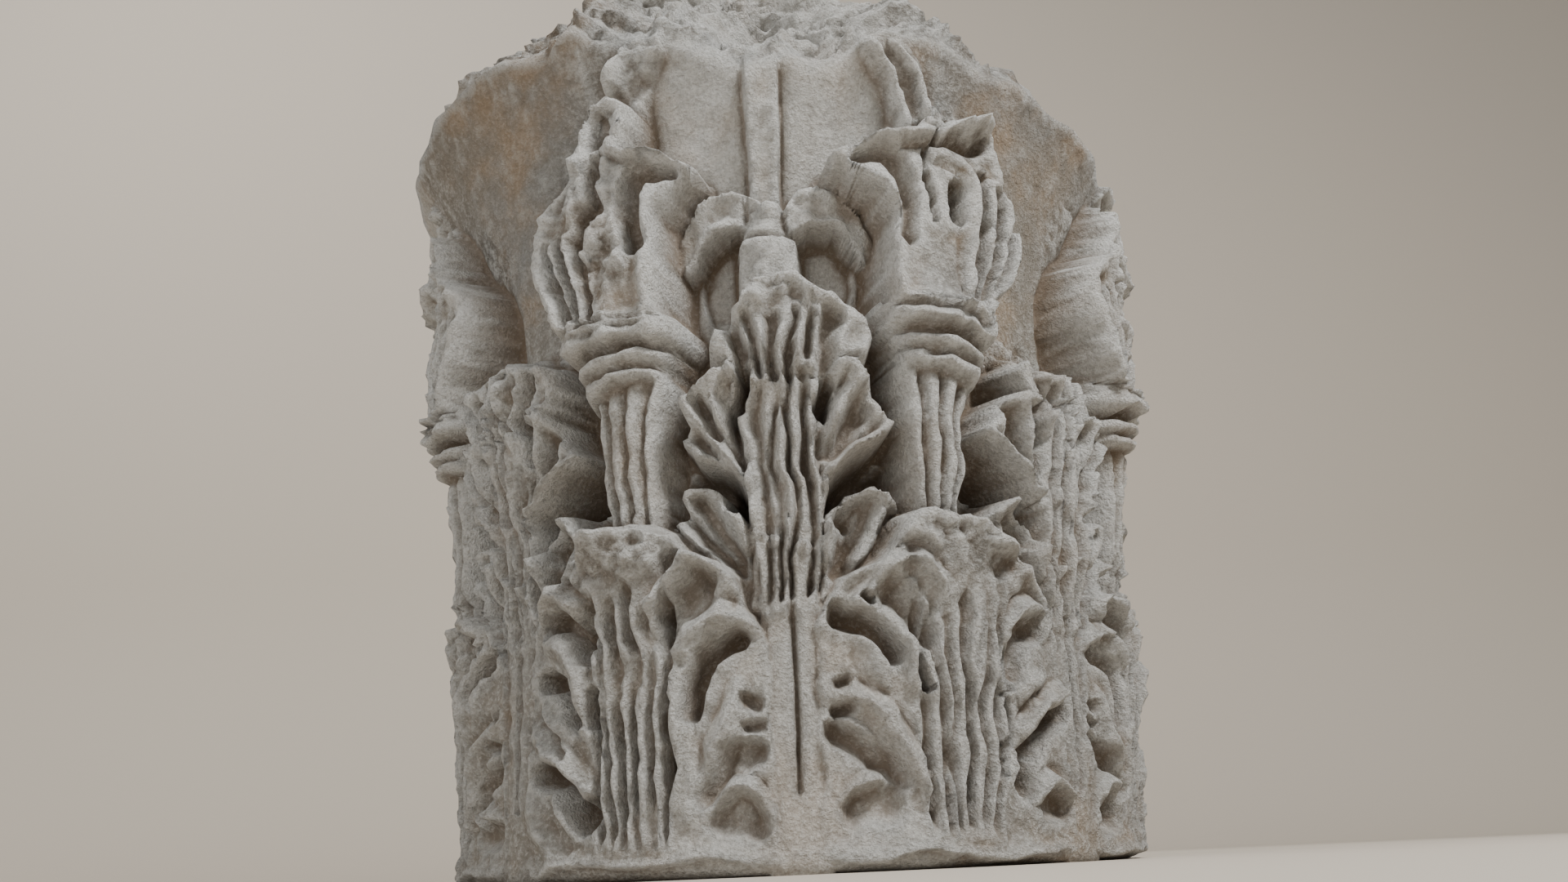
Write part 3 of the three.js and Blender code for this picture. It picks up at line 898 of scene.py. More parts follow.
@dataclass
class FlutedStem:
    """A fluted stem with its collar, the calyx above it and the stub of the inner scroll."""

    bearing: float
    corner: Side
    manner: Break
    seed: int
    foot: float = 180.0
    top: float = 304.0
    collar_top: float = 345.0
    calyx_top: float = 478.0
    scroll_top: float = 560.0

    def carve(self, flank: Flank, bell: Bell, noise: Noise) -> None:
        """Carves the whole stalk.

        Args:
            flank: the sheet that is carved.
            bell: the bell behind it.
            noise: the roughness of its breaks.
        """
        window = flank.window(self.bearing, 118.0, self.foot - 10.0, self.scroll_top + 30.0)
        window.waver(noise, 3.0)
        rng = np.random.default_rng(self.seed)
        self.carve_scroll(window, bell, noise)
        self.carve_calyx(window, noise, rng)
        self.carve_stem(window)
        self.carve_collar(window, noise)
        window.close()

    def carve_stem(self, window: Window) -> None:
        """Carves the tapering stem and its flutes.

        Args:
            window: the part of the flank round the stalk.
        """
        up = np.clip((window.z - self.foot) / (self.top - self.foot), 0.0, 1.0)
        x = window.turned(self.corner) + 6.0
        half = 15.0 + 11.0 * up**1.5
        share = np.clip(np.abs(x) / half, 0.0, 1.0)
        level = 268.0 + 21.0 * up - half * 0.75 * (1.0 - np.sqrt(1.0 - (share * 0.98) ** 2))
        groove = sum(np.exp(-(((x / half - place) / 0.10) ** 2)) for place in (0.02, -0.56, 0.6))
        outside = 3.5 * np.clip(np.abs(x) - half, 0.0, None) + 3.5 * np.clip(self.foot - window.z, 0.0, None)
        outside += 4.0 * np.clip(window.z - self.top, 0.0, None)
        window.raise_to(level - 5.0 * groove - outside)

    def carve_collar(self, window: Window, noise: Noise) -> None:
        """Carves the two twisted rolls and the broken block above them.

        Args:
            window: the part of the flank round the stalk.
            noise: the roughness of the break.
        """
        x = window.turned(self.corner) + 2.0
        half = 27.0 + 11.0 * smooth(298.0, 334.0, window.z)
        share = np.clip(np.abs(x) / half, 0.0, 1.0)
        round_off = 24.0 * (1.0 - np.sqrt(1.0 - (share * 0.97) ** 2))
        outside = 4.0 * np.clip(np.abs(x) - half, 0.0, None)
        slant = window.z + x * 0.10
        ragged = noise.layered(Leaf.places(window), 20.0, 3)
        for middle, radius in ((304.0, 297.0), (315.0, 301.0)):
            roll = np.abs(slant - middle - 1.5 * ragged) / 4.6
            window.raise_to(radius + 1.5 * ragged - 5.0 * roll**2 - round_off - outside)
        scallop = 3.0 * np.abs(np.sin(x / 8.5)) if self.manner is Break.ROUGH else 0.0
        above = np.clip(np.abs(window.z - 336.0 - 2.0 * ragged) - 9.0 + scallop, 0.0, None)
        window.raise_to(310.0 + 4.0 * ragged - 1.3 * scallop - round_off - outside - 3.0 * above, 1.2)
        window.broken = np.maximum(window.broken, 0.8 * smooth(3.0, 0.0, above) * (share < 0.95))

    def carve_calyx(self, window: Window, noise: Noise, rng: np.random.Generator) -> None:
        """Carves the calyx leaves, which spread further towards the corner.

        Args:
            window: the part of the flank round the stalk.
            noise: the roughness of its breaks.
            rng: the source of small changes from calyx to calyx.
        """
        x = window.turned(self.corner)
        up = np.clip((window.z - self.collar_top) / (self.calyx_top - self.collar_top), 0.0, 1.0)
        envelope = 304.0 + 9.0 * up - 20.0 * (x / 86.0) ** 2 + rng.normal(0.0, 1.0)
        CALYX_PLATES[self.manner].carve(window, self.corner, envelope)
        for stroke in CALYX_STROKES[self.manner]:
            stroke.carve(window, self.corner)
        ragged = noise.layered(Leaf.places(window), 22.0, 4)
        if self.manner is Break.ROUGH:
            share = smooth(50.0, 24.0, np.hypot((x - 34.0) / 1.1, window.z - 458.0))
            share = np.maximum(share, smooth(26.0, 14.0, np.hypot((x + 2.0) / 0.9, (window.z - 392.0) / 1.7)))
        else:
            share = smooth(30.0, 18.0, np.hypot((x - 20.0) / 1.4, window.z - 492.0))
        crags = 1.0 - 2.0 * np.abs(noise.single(Leaf.places(window), 30.0))
        window.radius = window.radius + share * (6.0 * ragged + 6.0 * crags - 3.0) * (window.radius > 282.0)
        window.broken = np.maximum(window.broken, share)

    def carve_scroll(self, window: Window, bell: Bell, noise: Noise) -> None:
        """Carves the broken band of the inner scroll and the root of the corner volute.

        Args:
            window: the part of the flank round the stalk.
            bell: the bell behind it.
            noise: the roughness of the breaks.
        """
        x = window.turned(self.corner)
        ragged = noise.layered(Leaf.places(window), 22.0, 3)
        behind = bell.radius(window.z)
        if self.manner is Break.ROUGH:
            trail = Trail(((0, 484), (-4, 500), (-15, 522), (-30, 550)), 5)
            distance, along = trail.measure(x, window.z)
            level = behind + 14.0 - 8.0 * along + 9.0 * ragged - 3.2 * np.clip(distance - 13.0, 0.0, None)
            window.raise_to(level, 1.2)
            window.broken = np.maximum(window.broken, smooth(17.0, 11.0, distance))
            return
        channel = Trail(((-6, 480), (-10, 505), (-17, 524), (-36, 544)), 5)
        distance, along = channel.measure(x, window.z)
        window.raise_to(behind + 8.0 - 4.0 * along - 3.2 * np.clip(distance - 13.0, 0.0, None), 1.2)
        for rim in (((-20, 472), (-16, 487), (-18, 501), (-26, 520), (-42, 542)),
                    ((8, 474), (1, 490), (-3, 507), (-10, 526), (-29, 544))):
            distance, along = Trail(rim, 4).measure(x, window.z)
            level = behind + 17.0 - 8.0 * along + 2.0 * ragged - 0.35 * distance**2
            window.raise_to(level, 1.2)
            window.broken = np.maximum(window.broken, smooth(7.0, 3.0, distance))


@dataclass
class Flower:
    """The stem of a lost flower at the middle of a face, with its hooked side leaves."""

    bearing: float
    foot: float = 345.0
    stub_top: float = 424.0
    band_top: float = 545.0

    def carve(self, flank: Flank, bell: Bell, noise: Noise) -> None:
        """Carves the stub, the thin band above it and the hooks.

        Args:
            flank: the sheet that is carved.
            bell: the bell behind it.
            noise: the roughness of the breaks.
        """
        window = flank.window(self.bearing, 84.0, self.foot - 16.0, self.band_top + 20.0)
        window.waver(noise, 2.0)
        behind = bell.radius(window.z)
        ragged = noise.layered(Leaf.places(window), 18.0, 3)
        for side in Side:
            across = window.turned(side)
            HOOD_PLATE.carve(window, side, behind + 23.0 - 0.16 * across + 4.0 * ragged)
            shelter = smooth(-3.0, 5.0, SHELTER_PLATE.inside(across, window.z))
            depth = 34.0 * shelter * smooth(340.0, 372.0, window.z)
            window.radius = np.maximum(window.radius - depth, np.minimum(window.radius, behind - 5.0))
        x = window.x + 6.0
        half = np.where(window.z < 402.0, 19.0, 16.0)
        share = np.clip(np.abs(x) / half, 0.0, 1.0)
        above = np.clip(window.z - self.stub_top - 3.0 * ragged, 0.0, None)
        outside = 4.0 * np.clip(np.abs(x) - half, 0, None)
        level = 284.0 + 3.0 * ragged - 13.0 * share**2 - outside - 3.0 * above
        level = level - 6.0 * np.exp(-(((window.z - 402.0) / 1.6) ** 2))
        window.raise_to(level, 1.2)
        window.broken = np.maximum(window.broken, 0.8 * (share < 1.0) * (window.z > 356.0) * (above < 2.0))
        strip = np.clip(np.abs(x) - 10.0, 0.0, None)
        fade = smooth(self.band_top, self.band_top - 30.0, window.z) * (window.z > self.stub_top - 6.0)
        window.raise_to(behind + 8.0 * fade - 3.0 * strip - 30.0 * (window.z < self.stub_top - 6.0))
        beside = np.abs(np.abs(x) - 13.0)
        window.radius = window.radius - 1.2 * fade * smooth(3.0, 1.0, beside)
        window.close()


class Shade:
    """A node's value that adds Math nodes when it is used in an expression."""

    def __init__(self, tree: bpy.types.NodeTree, socket: bpy.types.NodeSocket) -> None:
        """Wraps a socket.

        Args:
            tree: the node tree that it is in.
            socket: the output it wraps.
        """
        self.tree = tree
        self.socket = socket

    def math(self, operation: str, other: "Shade | float", swap: bool = False) -> "Shade":
        """Adds a Math node.

        Args:
            operation: the node's operation.
            other: the other value.
            swap: whether the other value comes first.

        Returns:
            The node's value.
        """
        node = self.tree.nodes.new("ShaderNodeMath")
        node.operation = operation
        for place, value in enumerate((other, self) if swap else (self, other)):
            if isinstance(value, Shade):
                self.tree.links.new(value.socket, node.inputs[place])
            else:
                node.inputs[place].default_value = value
        return Shade(self.tree, node.outputs[0])

    def __add__(self, other: "Shade | float") -> "Shade":
        """Adds a value."""
        return self.math("ADD", other)

    __radd__ = __add__

    def __mul__(self, other: "Shade | float") -> "Shade":
        """Multiplies by a value."""
        return self.math("MULTIPLY", other)

    __rmul__ = __mul__

    def __sub__(self, other: "Shade | float") -> "Shade":
        """Subtracts a value."""
        return self.math("SUBTRACT", other)

    def __rsub__(self, other: float) -> "Shade":
        """Subtracts this from a value."""
        return self.math("SUBTRACT", other, swap=True)

    def __rtruediv__(self, other: float) -> "Shade":
        """Divides a value by this."""
        return self.math("DIVIDE", other, swap=True)

    def clamped(self) -> "Shade":
        """Returns the value kept between 0 and 1."""
        low = self.math("MAXIMUM", 0.0)
        return low.math("MINIMUM", 1.0)

    def sharpened(self, low: float, high: float) -> "Shade":
        """Returns the value stretched so that low becomes 0 and high becomes 1."""
        return ((self - low) * (1.0 / (high - low))).clamped()


@dataclass(frozen=True)
class Graph:
    """A node tree, and the one way to add nodes to it."""

    tree: bpy.types.NodeTree

    def node(self, kind: str, inputs: dict | None = None, **settings: object) -> bpy.types.Node:
        """Adds a node.

        Args:
            kind: the node's type.
            inputs: its sockets' values or links, by name or place.
            settings: its properties.

        Returns:
            The node.
        """
        made = self.tree.nodes.new(kind)
        for key, value in settings.items():
            setattr(made, key, value)
        for key, value in (inputs or {}).items():
            source = value.socket if isinstance(value, Shade) else value
            if isinstance(source, bpy.types.NodeSocket):
                self.tree.links.new(source, made.inputs[key])
            else:
                made.inputs[key].default_value = source
        return made

    def value(self, socket: bpy.types.NodeSocket) -> Shade:
        """Wraps a socket of the tree for use in an expression."""
        return Shade(self.tree, socket)

    def mix(self, share: Shade, first: object, second: Colour) -> bpy.types.NodeSocket:
        """Mixes two colours.

        Args:
            share: how much of the second colour shows.
            first: a colour with its alpha, or a link.
            second: a colour.

        Returns:
            The mixed colour's socket.
        """
        inputs = {MIX_SHARE: share, MIX_FIRST: first, MIX_SECOND: (*second, 1.0)}
        return self.node("ShaderNodeMix", inputs, data_type="RGBA").outputs[MIX_COLOUR]


@dataclass(frozen=True)
class Marble:
    """Weathered marble: pale where it is worn or broken, brown with dirt and painted shade in the hollows,
    painted light where it faces up and on the middles of the faces, painted shade where it faces down.
    """

    name: str = "weathered_marble"
    stone: Colour = (0.246, 0.226, 0.192)
    # Pale of wear and breaks, also used as painted light on upward faces and on the middles of the faces
    worn: Colour = (0.830, 0.825, 0.790)
    # Brown of the dirt in the hollows, also used as painted shade there
    dirt_and_shade: Colour = (0.140, 0.103, 0.070)
    # Painted shade for where the stone faces down, also used for the dark grain
    shade_and_dark_grain: Colour = (0.160, 0.138, 0.112)
    ochre: Colour = (0.345, 0.250, 0.160)
    cool: Colour = (0.246, 0.252, 0.246)
    grains: tuple[Point, ...] = ((4.0, 3.0), (13.0, 5.0), (90.0, 6.0), (330.0, 5.0), (800.0, 3.0))
    grain_roughness: float = 0.62
    roughness: float = 0.86
    shine: float = 0.25
    relief: float = 0.015

    def noise(self, graph: Graph, place: bpy.types.NodeSocket, scale: float, detail: float) -> Shade:
        """Adds a noise.

        Args:
            graph: the node tree.
            place: the coordinates it reads.
            scale: how many cells a metre holds.
            detail: its layers.

        Returns:
            Its value, between 0 and 1.
        """
        inputs = {"Vector": place, "Scale": scale, "Detail": detail, "Roughness": self.grain_roughness}
        return graph.value(graph.node("ShaderNodeTexNoise", inputs).outputs[0])

    def build(self) -> bpy.types.Material:
        """Builds the material.

        Returns:
            The material.
        """
        material = bpy.data.materials.new(self.name)
        material.use_nodes = True
        graph = Graph(material.node_tree)
        graph.tree.nodes.clear()
        place = graph.node("ShaderNodeTexCoord").outputs["Object"]
        cavity, crest, broken, upward = (
            graph.value(graph.node("ShaderNodeAttribute", attribute_name=name).outputs["Fac"])
            for name in MARKS
        )
        parts = graph.node("ShaderNodeSeparateXYZ", {0: place}).outputs
        across, along = (graph.value(parts[axis]).math("ABSOLUTE", 0.0) for axis in ("X", "Y"))
        height = graph.value(parts["Z"])
        inward = across.math("MINIMUM", along)
        low = height.sharpened(0.38, 0.12)
        panel = inward.sharpened(0.115, 0.070)
        corner = inward.sharpened(0.120, 0.160) * height.sharpened(0.34, 0.44)
        broad, patch, fine, grit, speck = (self.noise(graph, place, *grain) for grain in self.grains)
        free = 1.0 - 0.65 * cavity
        layers = (
            (broad.sharpened(0.44, 0.60) * 0.8, self.cool),
            (patch.sharpened(0.52, 0.70) * 0.6, self.ochre),
            # Painted shade where the stone faces down
            (upward.sharpened(0.40, 0.10) * 0.55, self.shade_and_dark_grain),
            # The middles of the faces painted paler: painted light
            (panel * (0.20 + patch * 0.5), self.worn),
            (corner * patch.sharpened(0.40, 0.64) * 0.5, self.ochre),
            (fine.sharpened(0.46, 0.66) * (1.0 - 0.7 * corner) * 0.24, self.worn),
            ((crest * (0.30 + fine * 1.2)).clamped(), self.worn),
            (broken * fine.sharpened(0.42, 0.60) * 0.5, self.worn),
            # Painted light where the stone faces up
            (upward.sharpened(0.60, 0.95) * 0.5, self.worn),
            (low * (0.20 + patch * 0.30), self.stone),
            (patch.sharpened(0.50, 0.66) * 0.22 * free, self.ochre),
            # The hollows painted brown: dirt and painted shade
            ((cavity * (0.7 + patch * 0.5)).clamped(), self.dirt_and_shade),
            (grit.sharpened(0.50, 0.68) * (1.0 - 0.6 * corner) * 0.36 * free, self.worn),
            (grit.sharpened(0.49, 0.34) * 0.30 * free, self.shade_and_dark_grain),
            (speck.sharpened(0.53, 0.68) * 0.32, self.shade_and_dark_grain),
        )
        colour = (*self.stone, 1.0)
        for share, paint in layers:
            colour = graph.mix(share, colour, paint)
        exposed = (0.5 + crest * 0.8 + broken * 0.6).clamped() * free
        relief = ((fine - 0.5) * 0.35 + (grit - 0.5) * 0.45 + (speck - 0.5) * 0.2) * exposed
        bump = graph.node("ShaderNodeBump", {"Strength": 1.0, "Distance": self.relief, "Height": relief})
        rough = self.roughness + 0.1 * (fine - 0.5)
        shader = graph.node(
            "ShaderNodeBsdfPrincipled",
            {
                "Base Color": colour,
                "Roughness": rough,
                "Normal": bump.outputs[0],
                "Specular IOR Level": self.shine,
            },
        )
        graph.node("ShaderNodeOutputMaterial", {0: shader.outputs[0]})
        return material


@dataclass
class Weathering:
    """Pits and grain that are raised on the finished mesh by a node tree."""

    pit_size: float = 0.012
    pit_depth: float = 0.0034
    grain_size: float = 0.0046
    grain_depth: float = 0.0022
    bed_clearance: float = 0.004

    def values(self) -> dict[str, float]:
        """Returns what the tree's named inputs are set to."""
        return {
            "Pit size": self.pit_size,
            "Pit depth": self.pit_depth,
            "Grain size": self.grain_size,
            "Grain depth": self.grain_depth,
        }

    def tree(self, material: bpy.types.Material) -> bpy.types.NodeTree:
        """Builds the node tree.

        Args:
            material: what its result is made of.

        Returns:
            The tree.
        """
        tree = bpy.data.node_groups.new("weathering", "GeometryNodeTree")
        tree.interface.new_socket("Geometry", in_out="INPUT", socket_type="NodeSocketGeometry")
        for name in self.values():
            tree.interface.new_socket(name, in_out="INPUT", socket_type="NodeSocketFloat")
        tree.interface.new_socket("Geometry", in_out="OUTPUT", socket_type="NodeSocketGeometry")
        graph = Graph(tree)
        start = graph.node("NodeGroupInput")
        place = graph.node("GeometryNodeInputPosition").outputs[0]
        normal = graph.node("GeometryNodeInputNormal").outputs[0]
        depths = []
        for kind in ("Pit", "Grain"):
            cells = 1.0 / graph.value(start.outputs[f"{kind} size"])
            noise = graph.node("ShaderNodeTexNoise", {"Vector": place, "Scale": cells, "Detail": 2.0})
            depth = graph.value(start.outputs[f"{kind} depth"])
            depths.append((graph.value(noise.outputs[0]) - 0.5) * depth)
        total = depths[0] + depths[1]
        offset = graph.node("ShaderNodeVectorMath", {0: normal, "Scale": total}, operation="SCALE")
        height = graph.node("ShaderNodeSeparateXYZ", {0: place}).outputs["Z"]
        free = graph.node(
            "FunctionNodeCompare",
            {"A": height, "B": self.bed_clearance},
            data_type="FLOAT",
            operation="GREATER_THAN",
        )
        inputs = {
            "Geometry": start.outputs["Geometry"],
            "Selection": free.outputs[0],
            "Offset": offset.outputs[0],
        }
        move = graph.node("GeometryNodeSetPosition", inputs)
        real = graph.node("GeometryNodeRealizeInstances", {0: move.outputs[0]})
        dress = graph.node("GeometryNodeSetMaterial", {"Geometry": real.outputs[0], "Material": material})
        graph.node("NodeGroupOutput", {0: dress.outputs[0]})
        return tree

    def apply(self, piece: bpy.types.Object, material: bpy.types.Material) -> None:
        """Weathers a piece and makes the result its plain mesh.

        Args:
            piece: the piece.
            material: what it is made of.
        """
        tree = self.tree(material)
        modifier = piece.modifiers.new("weathering", "NODES")
        modifier.node_group = tree
        values = self.values()
        for item in tree.interface.items_tree:
            if item.in_out == "INPUT" and item.name in values:
                modifier[item.identifier] = values[item.name]
        bake_modifiers(piece)


def bake_modifiers(piece: bpy.types.Object) -> None:
    """Makes a piece's evaluated shape its plain mesh.

    Args:
        piece: the piece, whose modifiers are removed.
    """
    graph = bpy.context.evaluated_depsgraph_get()
    mesh = bpy.data.meshes.new_from_object(piece.evaluated_get(graph))
    old = piece.data
    piece.modifiers.clear()
    piece.data = mesh
    bpy.data.meshes.remove(old)


def blurred(values: Array, width: int, passes: int = 2) -> Array:
    """Blurs a sheet with a box, wrapping round the axis.

    Args:
        values: the sheet, row by row.
        width: half the box's width, in points.
        passes: how often it is blurred.

    Returns:
        The blurred sheet.
    """
    box = 2 * width + 1
    out = values
    for _ in range(passes):
        padded = np.pad(out, ((width, width), (0, 0)), mode="edge")
        total = np.cumsum(np.vstack([np.zeros((1, padded.shape[1])), padded]), axis=0)
        out = (total[box:] - total[:-box]) / box
        padded = np.concatenate([out[:, -width:], out, out[:, :width]], axis=1)
        total = np.cumsum(np.hstack([np.zeros((padded.shape[0], 1)), padded]), axis=1)
        out = (total[:, box:] - total[:, :-box]) / box
    return out


@dataclass
class Capital:
    """The whole carved block."""

    columns: int = 1040
    rows: int = 350
    mound_rows: int = 96
    triangles: int = 192_000
    bell: Bell = field(default_factory=Bell)
    marble: Marble = field(default_factory=Marble)
    weathering: Weathering = field(default_factory=Weathering)
    lower_loss: tuple[float, ...] = (6, 36, 14, 24, 4, 18, 30, 2)
    upper_loss: tuple[float, ...] = (0, 30, 12, 4, 22, 8, 14, 18)
    leafy_stalks: tuple[int, ...] = (0, 3, 5)
    unturned_uppers: tuple[int, ...] = (0, 3, 5, 7)
    lower_halves: tuple[tuple[int, int], ...] = ((2, 3), (1, 0), (3, 2), (0, 1))

    def carve(self, noise: Noise) -> Flank:
        """Carves every form into the flank.

        Args:
            noise: the stone's roughness.

        Returns:
            The carved flank.
        """
        flank = Flank(self.columns, self.rows, self.bell.edge)
        self.bell.start(flank)
        for i in range(STALKS):
            UpperStem(i * PITCH).carve(flank)
        for i in range(STALKS):
            corner = Side.RIGHT if i % 2 == 0 else Side.LEFT
            manner = Break.LEAFY if i in self.leafy_stalks else Break.ROUGH
            FlutedStem((i + 0.5) * PITCH, corner, manner, STALK_SEED + i).carve(flank, self.bell, noise)
        for i in range(FACES):
            Flower(i * 360.0 / FACES).carve(flank, self.bell, noise)
        for i, loss in enumerate(self.upper_loss):
            left, right = (0, 1) if i in self.unturned_uppers else (1, 0)
            Leaf(Row.UPPER, i * PITCH, loss, left, right, UPPER_SEED + i).carve(flank, noise)
        for i, loss in enumerate(self.lower_loss):
            left, right = self.lower_halves[i % len(self.lower_halves)]
            Leaf(Row.LOWER, (i + 0.5) * PITCH, loss, left, right, SEED + i).carve(flank, noise)
        worn = noise.layered(flank.points(), 55.0, 4)
        flank.radius = flank.radius + 1.6 * worn * smooth(4.0, 24.0, flank.height)
        self.crumble(flank, noise)
        return flank

    def crumble(self, flank: Flank, noise: Noise) -> None:
        """Sharpens the edges and gives the raised stone its crust, while the hollows stay smoother.

        Args:
            flank: the carved flank.
            noise: the stone's roughness.
        """
        edges = np.clip(flank.radius - blurred(flank.radius, FINE_BLUR), -4.0, 4.0)
        raised = smooth(-2.0, 3.0, flank.radius - blurred(flank.radius, BROAD_BLUR))
        crust = noise.layered(flank.points(), 11.0, 3) - 0.6 * np.abs(noise.single(flank.points(), 6.5))
        inside = smooth(3.0, 14.0, flank.height) * smooth(0.0, 12.0, flank.edge[None, :] - flank.height)
        flank.radius = flank.radius + inside * (0.5 * edges + 1.6 * (0.25 + 0.75 * raised) * crust)

    def build(self) -> bpy.types.Object:
        """Builds the block's mesh and dresses it.

        Returns:
            The piece.
        """
        noise = Noise(SEED)
        flank = self.carve(noise)
        mound_radius, mound_height = self.bell.mound(flank, self.mound_rows, noise)
        radius = np.vstack([flank.radius, mound_radius])
        height = np.vstack([flank.height, mound_height])
        turn = np.radians(flank.bearing)[None, :]
        points = np.stack([radius * np.sin(turn), -radius * np.cos(turn), height], axis=-1).reshape(-1, 3)
        piece = self.sheet_to_mesh(points * MM, radius.shape)
        self.thin(piece)
        self.paint(piece, flank, dict(zip(MARKS, self.marks(flank))))
        self.weathering.apply(piece, self.marble.build())
        return piece

    def marks(self, flank: Flank) -> tuple[Array, Array, Array]:
        """Works out the hollows, which are painted brown as dirt and painted shade, where the stone is worn
        and where it is broken.

        Args:
            flank: the carved flank.

        Returns:
            The three shares for each point.
        """
        near = flank.radius - blurred(flank.radius, FINE_BLUR)
        far = flank.radius - blurred(flank.radius, BROAD_BLUR)
        # How hollow each point is, which the marble paints brown as dirt and painted shade
        cavity = np.clip(-near / 3.2, 0.0, 1.0) * 0.8 + np.clip((-far - 8.0) / 18.0, 0.0, 1.0) * 0.4
        crest = np.clip(near / 2.6, 0.0, 1.0)
        return np.clip(cavity, 0.0, 1.0), crest, flank.broken

    def paint(self, piece: bpy.types.Object, flank: Flank, sheets: dict[str, Array]) -> None:
        """Gives each point of the mesh what the sheets hold at its place, and how far it faces up.

        Args:
            piece: the mesh.
            flank: the carved flank.
            sheets: the flank's values by name, a row for each height.
        """
        points = len(piece.data.vertices)
        place, normal = np.empty(points * 3), np.empty(points * 3)
        piece.data.vertices.foreach_get("co", place)
        piece.data.vertices.foreach_get("normal", normal)
        x, y, z = place.reshape(-1, 3).T / MM
        column = np.degrees(np.arctan2(x, -y)) / 360.0 * self.columns + self.columns / 2
        column = np.round(column).astype(int) % self.columns
        share = z / flank.edge[column]
        row = np.clip(np.round(share * (self.rows - 1)), 0, self.rows - 1).astype(int)
        above = smooth(1.0, 1.02, share)
        values = {name: sheet[row, column] * (1.0 - above) for name, sheet in sheets.items()}
        values["broken"] = np.maximum(values["broken"], above)
        # How far each point faces up, which the marble turns into painted light above and painted shade below
        values["upward"] = 0.5 + 0.5 * normal[2::3]
        for name, value in values.items():
            attribute = piece.data.attributes.new(name, "FLOAT", "POINT")
            attribute.data.foreach_set("value", value)

    @staticmethod
    def sheet_to_mesh(points: Array, shape: tuple[int, int]) -> bpy.types.Object:
        """Rolls the sheet up into a closed mesh.

        Args:
            points: the sheet's points, row by row, in metres.
            shape: its rows and columns.

        Returns:
            The object.
        """
        rows, columns = shape
        index = np.arange(rows * columns).reshape(rows, columns)
        after = np.roll(index, -1, axis=1)
        quads = np.stack([index[:-1], after[:-1], after[1:], index[1:]], axis=-1).reshape(-1, 4)
        bottom, top = rows * columns, rows * columns + 1
        ends = np.array([[0.0, 0.0, 0.0], [0.0, 0.0, points[-columns:, 2].mean()]])
        faces = quads.tolist()
        faces += [(int(b), int(a), bottom) for a, b in zip(index[0], after[0])]
        faces += [(int(a), int(b), top) for a, b in zip(index[-1], after[-1])]
        mesh = bpy.data.meshes.new("capital_carving")
        mesh.from_pydata(np.vstack([points, ends]).tolist(), [], faces)
        mesh.validate()
        piece = bpy.data.objects.new("capital_carving", mesh)
        bpy.context.scene.collection.objects.link(piece)
        return piece

    def thin(self, piece: bpy.types.Object) -> None:
        """Brings the mesh down to its number of triangles, where it is flat first.

        Args:
            piece: the mesh.
        """
        count = sum(len(face.vertices) - 2 for face in piece.data.polygons)
        modifier = piece.modifiers.new("thin", "DECIMATE")
        modifier.ratio = self.triangles / count
        bake_modifiers(piece)
        for face in piece.data.polygons:
            face.use_smooth = True
        LOG.info("capital_carving has %d faces", len(piece.data.polygons))


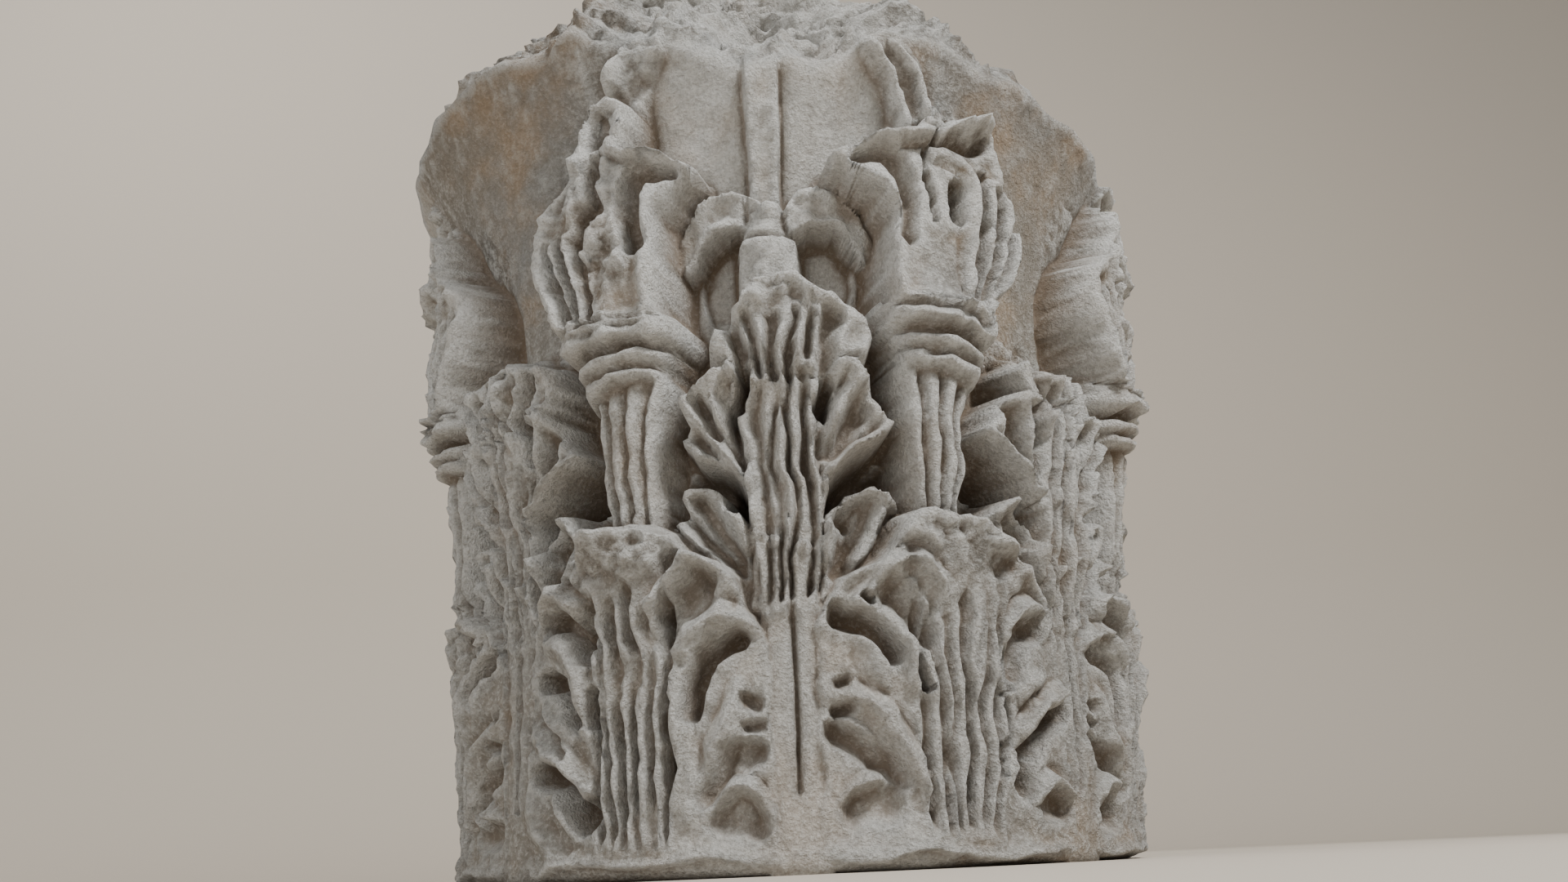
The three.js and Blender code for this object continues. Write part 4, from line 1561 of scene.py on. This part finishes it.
@dataclass
class Studio:
    """The camera, the soft lights, the floor and the backdrop."""

    distance: float = 0.897
    eye_height: float = 0.006
    pitch: float = 21.66
    roll: float = -2.5
    lens: float = 24.45
    sensor: float = 36.0
    nearest: float = 0.01
    floor_front: float = -3.0
    floor_back: float = 2.2
    floor_side: float = 8.0
    floor_bend: float = 1.2
    backdrop_top: float = 6.0
    floor_paint: Colour = (0.56, 0.500, 0.420)
    floor_roughness: float = 0.9
    room_paint: Colour = (0.80, 0.80, 0.80)
    room_strength: float = 0.50

    def camera(self) -> None:
        """Sets the camera up at the photograph's angle."""
        data = bpy.data.cameras.new("camera")
        data.lens = self.lens
        data.sensor_width = self.sensor
        data.clip_start = self.nearest
        camera = bpy.data.objects.new("camera", data)
        tilt = Matrix.Rotation(math.radians(90.0 + self.pitch), 4, "X")
        roll = Matrix.Rotation(math.radians(self.roll), 4, "Z")
        camera.matrix_world = Matrix.Translation((0.0, -self.distance, self.eye_height)) @ (tilt @ roll)
        bpy.context.scene.collection.objects.link(camera)
        bpy.context.scene.camera = camera

    def light(self, name: str, place: Vector, aim: Vector, size: float, watts: float) -> None:
        """Adds a soft light.

        Args:
            name: its name.
            place: where it is.
            aim: the point that it faces.
            size: its width.
            watts: its power.
        """
        data = bpy.data.lights.new(name, "AREA")
        data.size = size
        data.energy = watts
        lamp = bpy.data.objects.new(name, data)
        lamp.location = place
        lamp.rotation_euler = (aim - place).to_track_quat("-Z", "Y").to_euler()
        bpy.context.scene.collection.objects.link(lamp)

    def sweep(self) -> None:
        """Lays the floor and the backdrop as one plain pale sheet."""
        bend = self.floor_bend
        profile = [(self.floor_front, 0.0), (self.floor_back, 0.0)]
        for turn in np.linspace(0.1, 1.57, 12):
            profile.append((self.floor_back + bend * math.sin(turn), bend - bend * math.cos(turn)))
        profile.append((self.floor_back + bend, self.backdrop_top))
        points = [(x, y, z) for y, z in profile for x in (-self.floor_side, self.floor_side)]
        faces = [(2 * i, 2 * i + 1, 2 * i + 3, 2 * i + 2) for i in range(len(profile) - 1)]
        mesh = bpy.data.meshes.new("floor")
        mesh.from_pydata(points, [], faces)
        floor = bpy.data.objects.new("floor", mesh)
        material = bpy.data.materials.new("floor_paint")
        material.use_nodes = True
        shader = material.node_tree.nodes["Principled BSDF"]
        shader.inputs["Base Color"].default_value = (*self.floor_paint, 1.0)
        shader.inputs["Roughness"].default_value = self.floor_roughness
        mesh.materials.append(material)
        for face in mesh.polygons:
            face.use_smooth = True
        bpy.context.scene.collection.objects.link(floor)

    def world(self) -> None:
        """Fills the room with even light."""
        world = bpy.data.worlds.new("room")
        world.use_nodes = True
        background = world.node_tree.nodes["Background"]
        background.inputs["Color"].default_value = (*self.room_paint, 1.0)
        background.inputs["Strength"].default_value = self.room_strength
        bpy.context.scene.world = world

    def build(self) -> None:
        """Sets the studio up."""
        self.camera()
        self.sweep()
        self.world()
        middle = Vector((0.0, 0.0, 0.35))
        self.light("key", Vector((1.7, -2.0, 2.8)), middle, 0.8, 150.0)
        self.light("fill", Vector((-1.6, -2.4, 1.0)), middle, 2.6, 38.0)
        self.light("backdrop", Vector((-3.4, -0.6, 4.6)), Vector((-3.4, 3.4, 4.4)), 3.2, 170.0)


def main() -> None:
    """Builds the capital and its studio, and reports each piece."""
    logging.basicConfig(level=logging.INFO, format="%(name)s: %(message)s")
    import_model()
    piece = Capital().build()
    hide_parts(NODE)
    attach(piece, "root")
    LOG.info("%s: %d vertices", piece.name, len(piece.data.vertices))
    Studio().build()


if __name__ == "__main__":
    main()
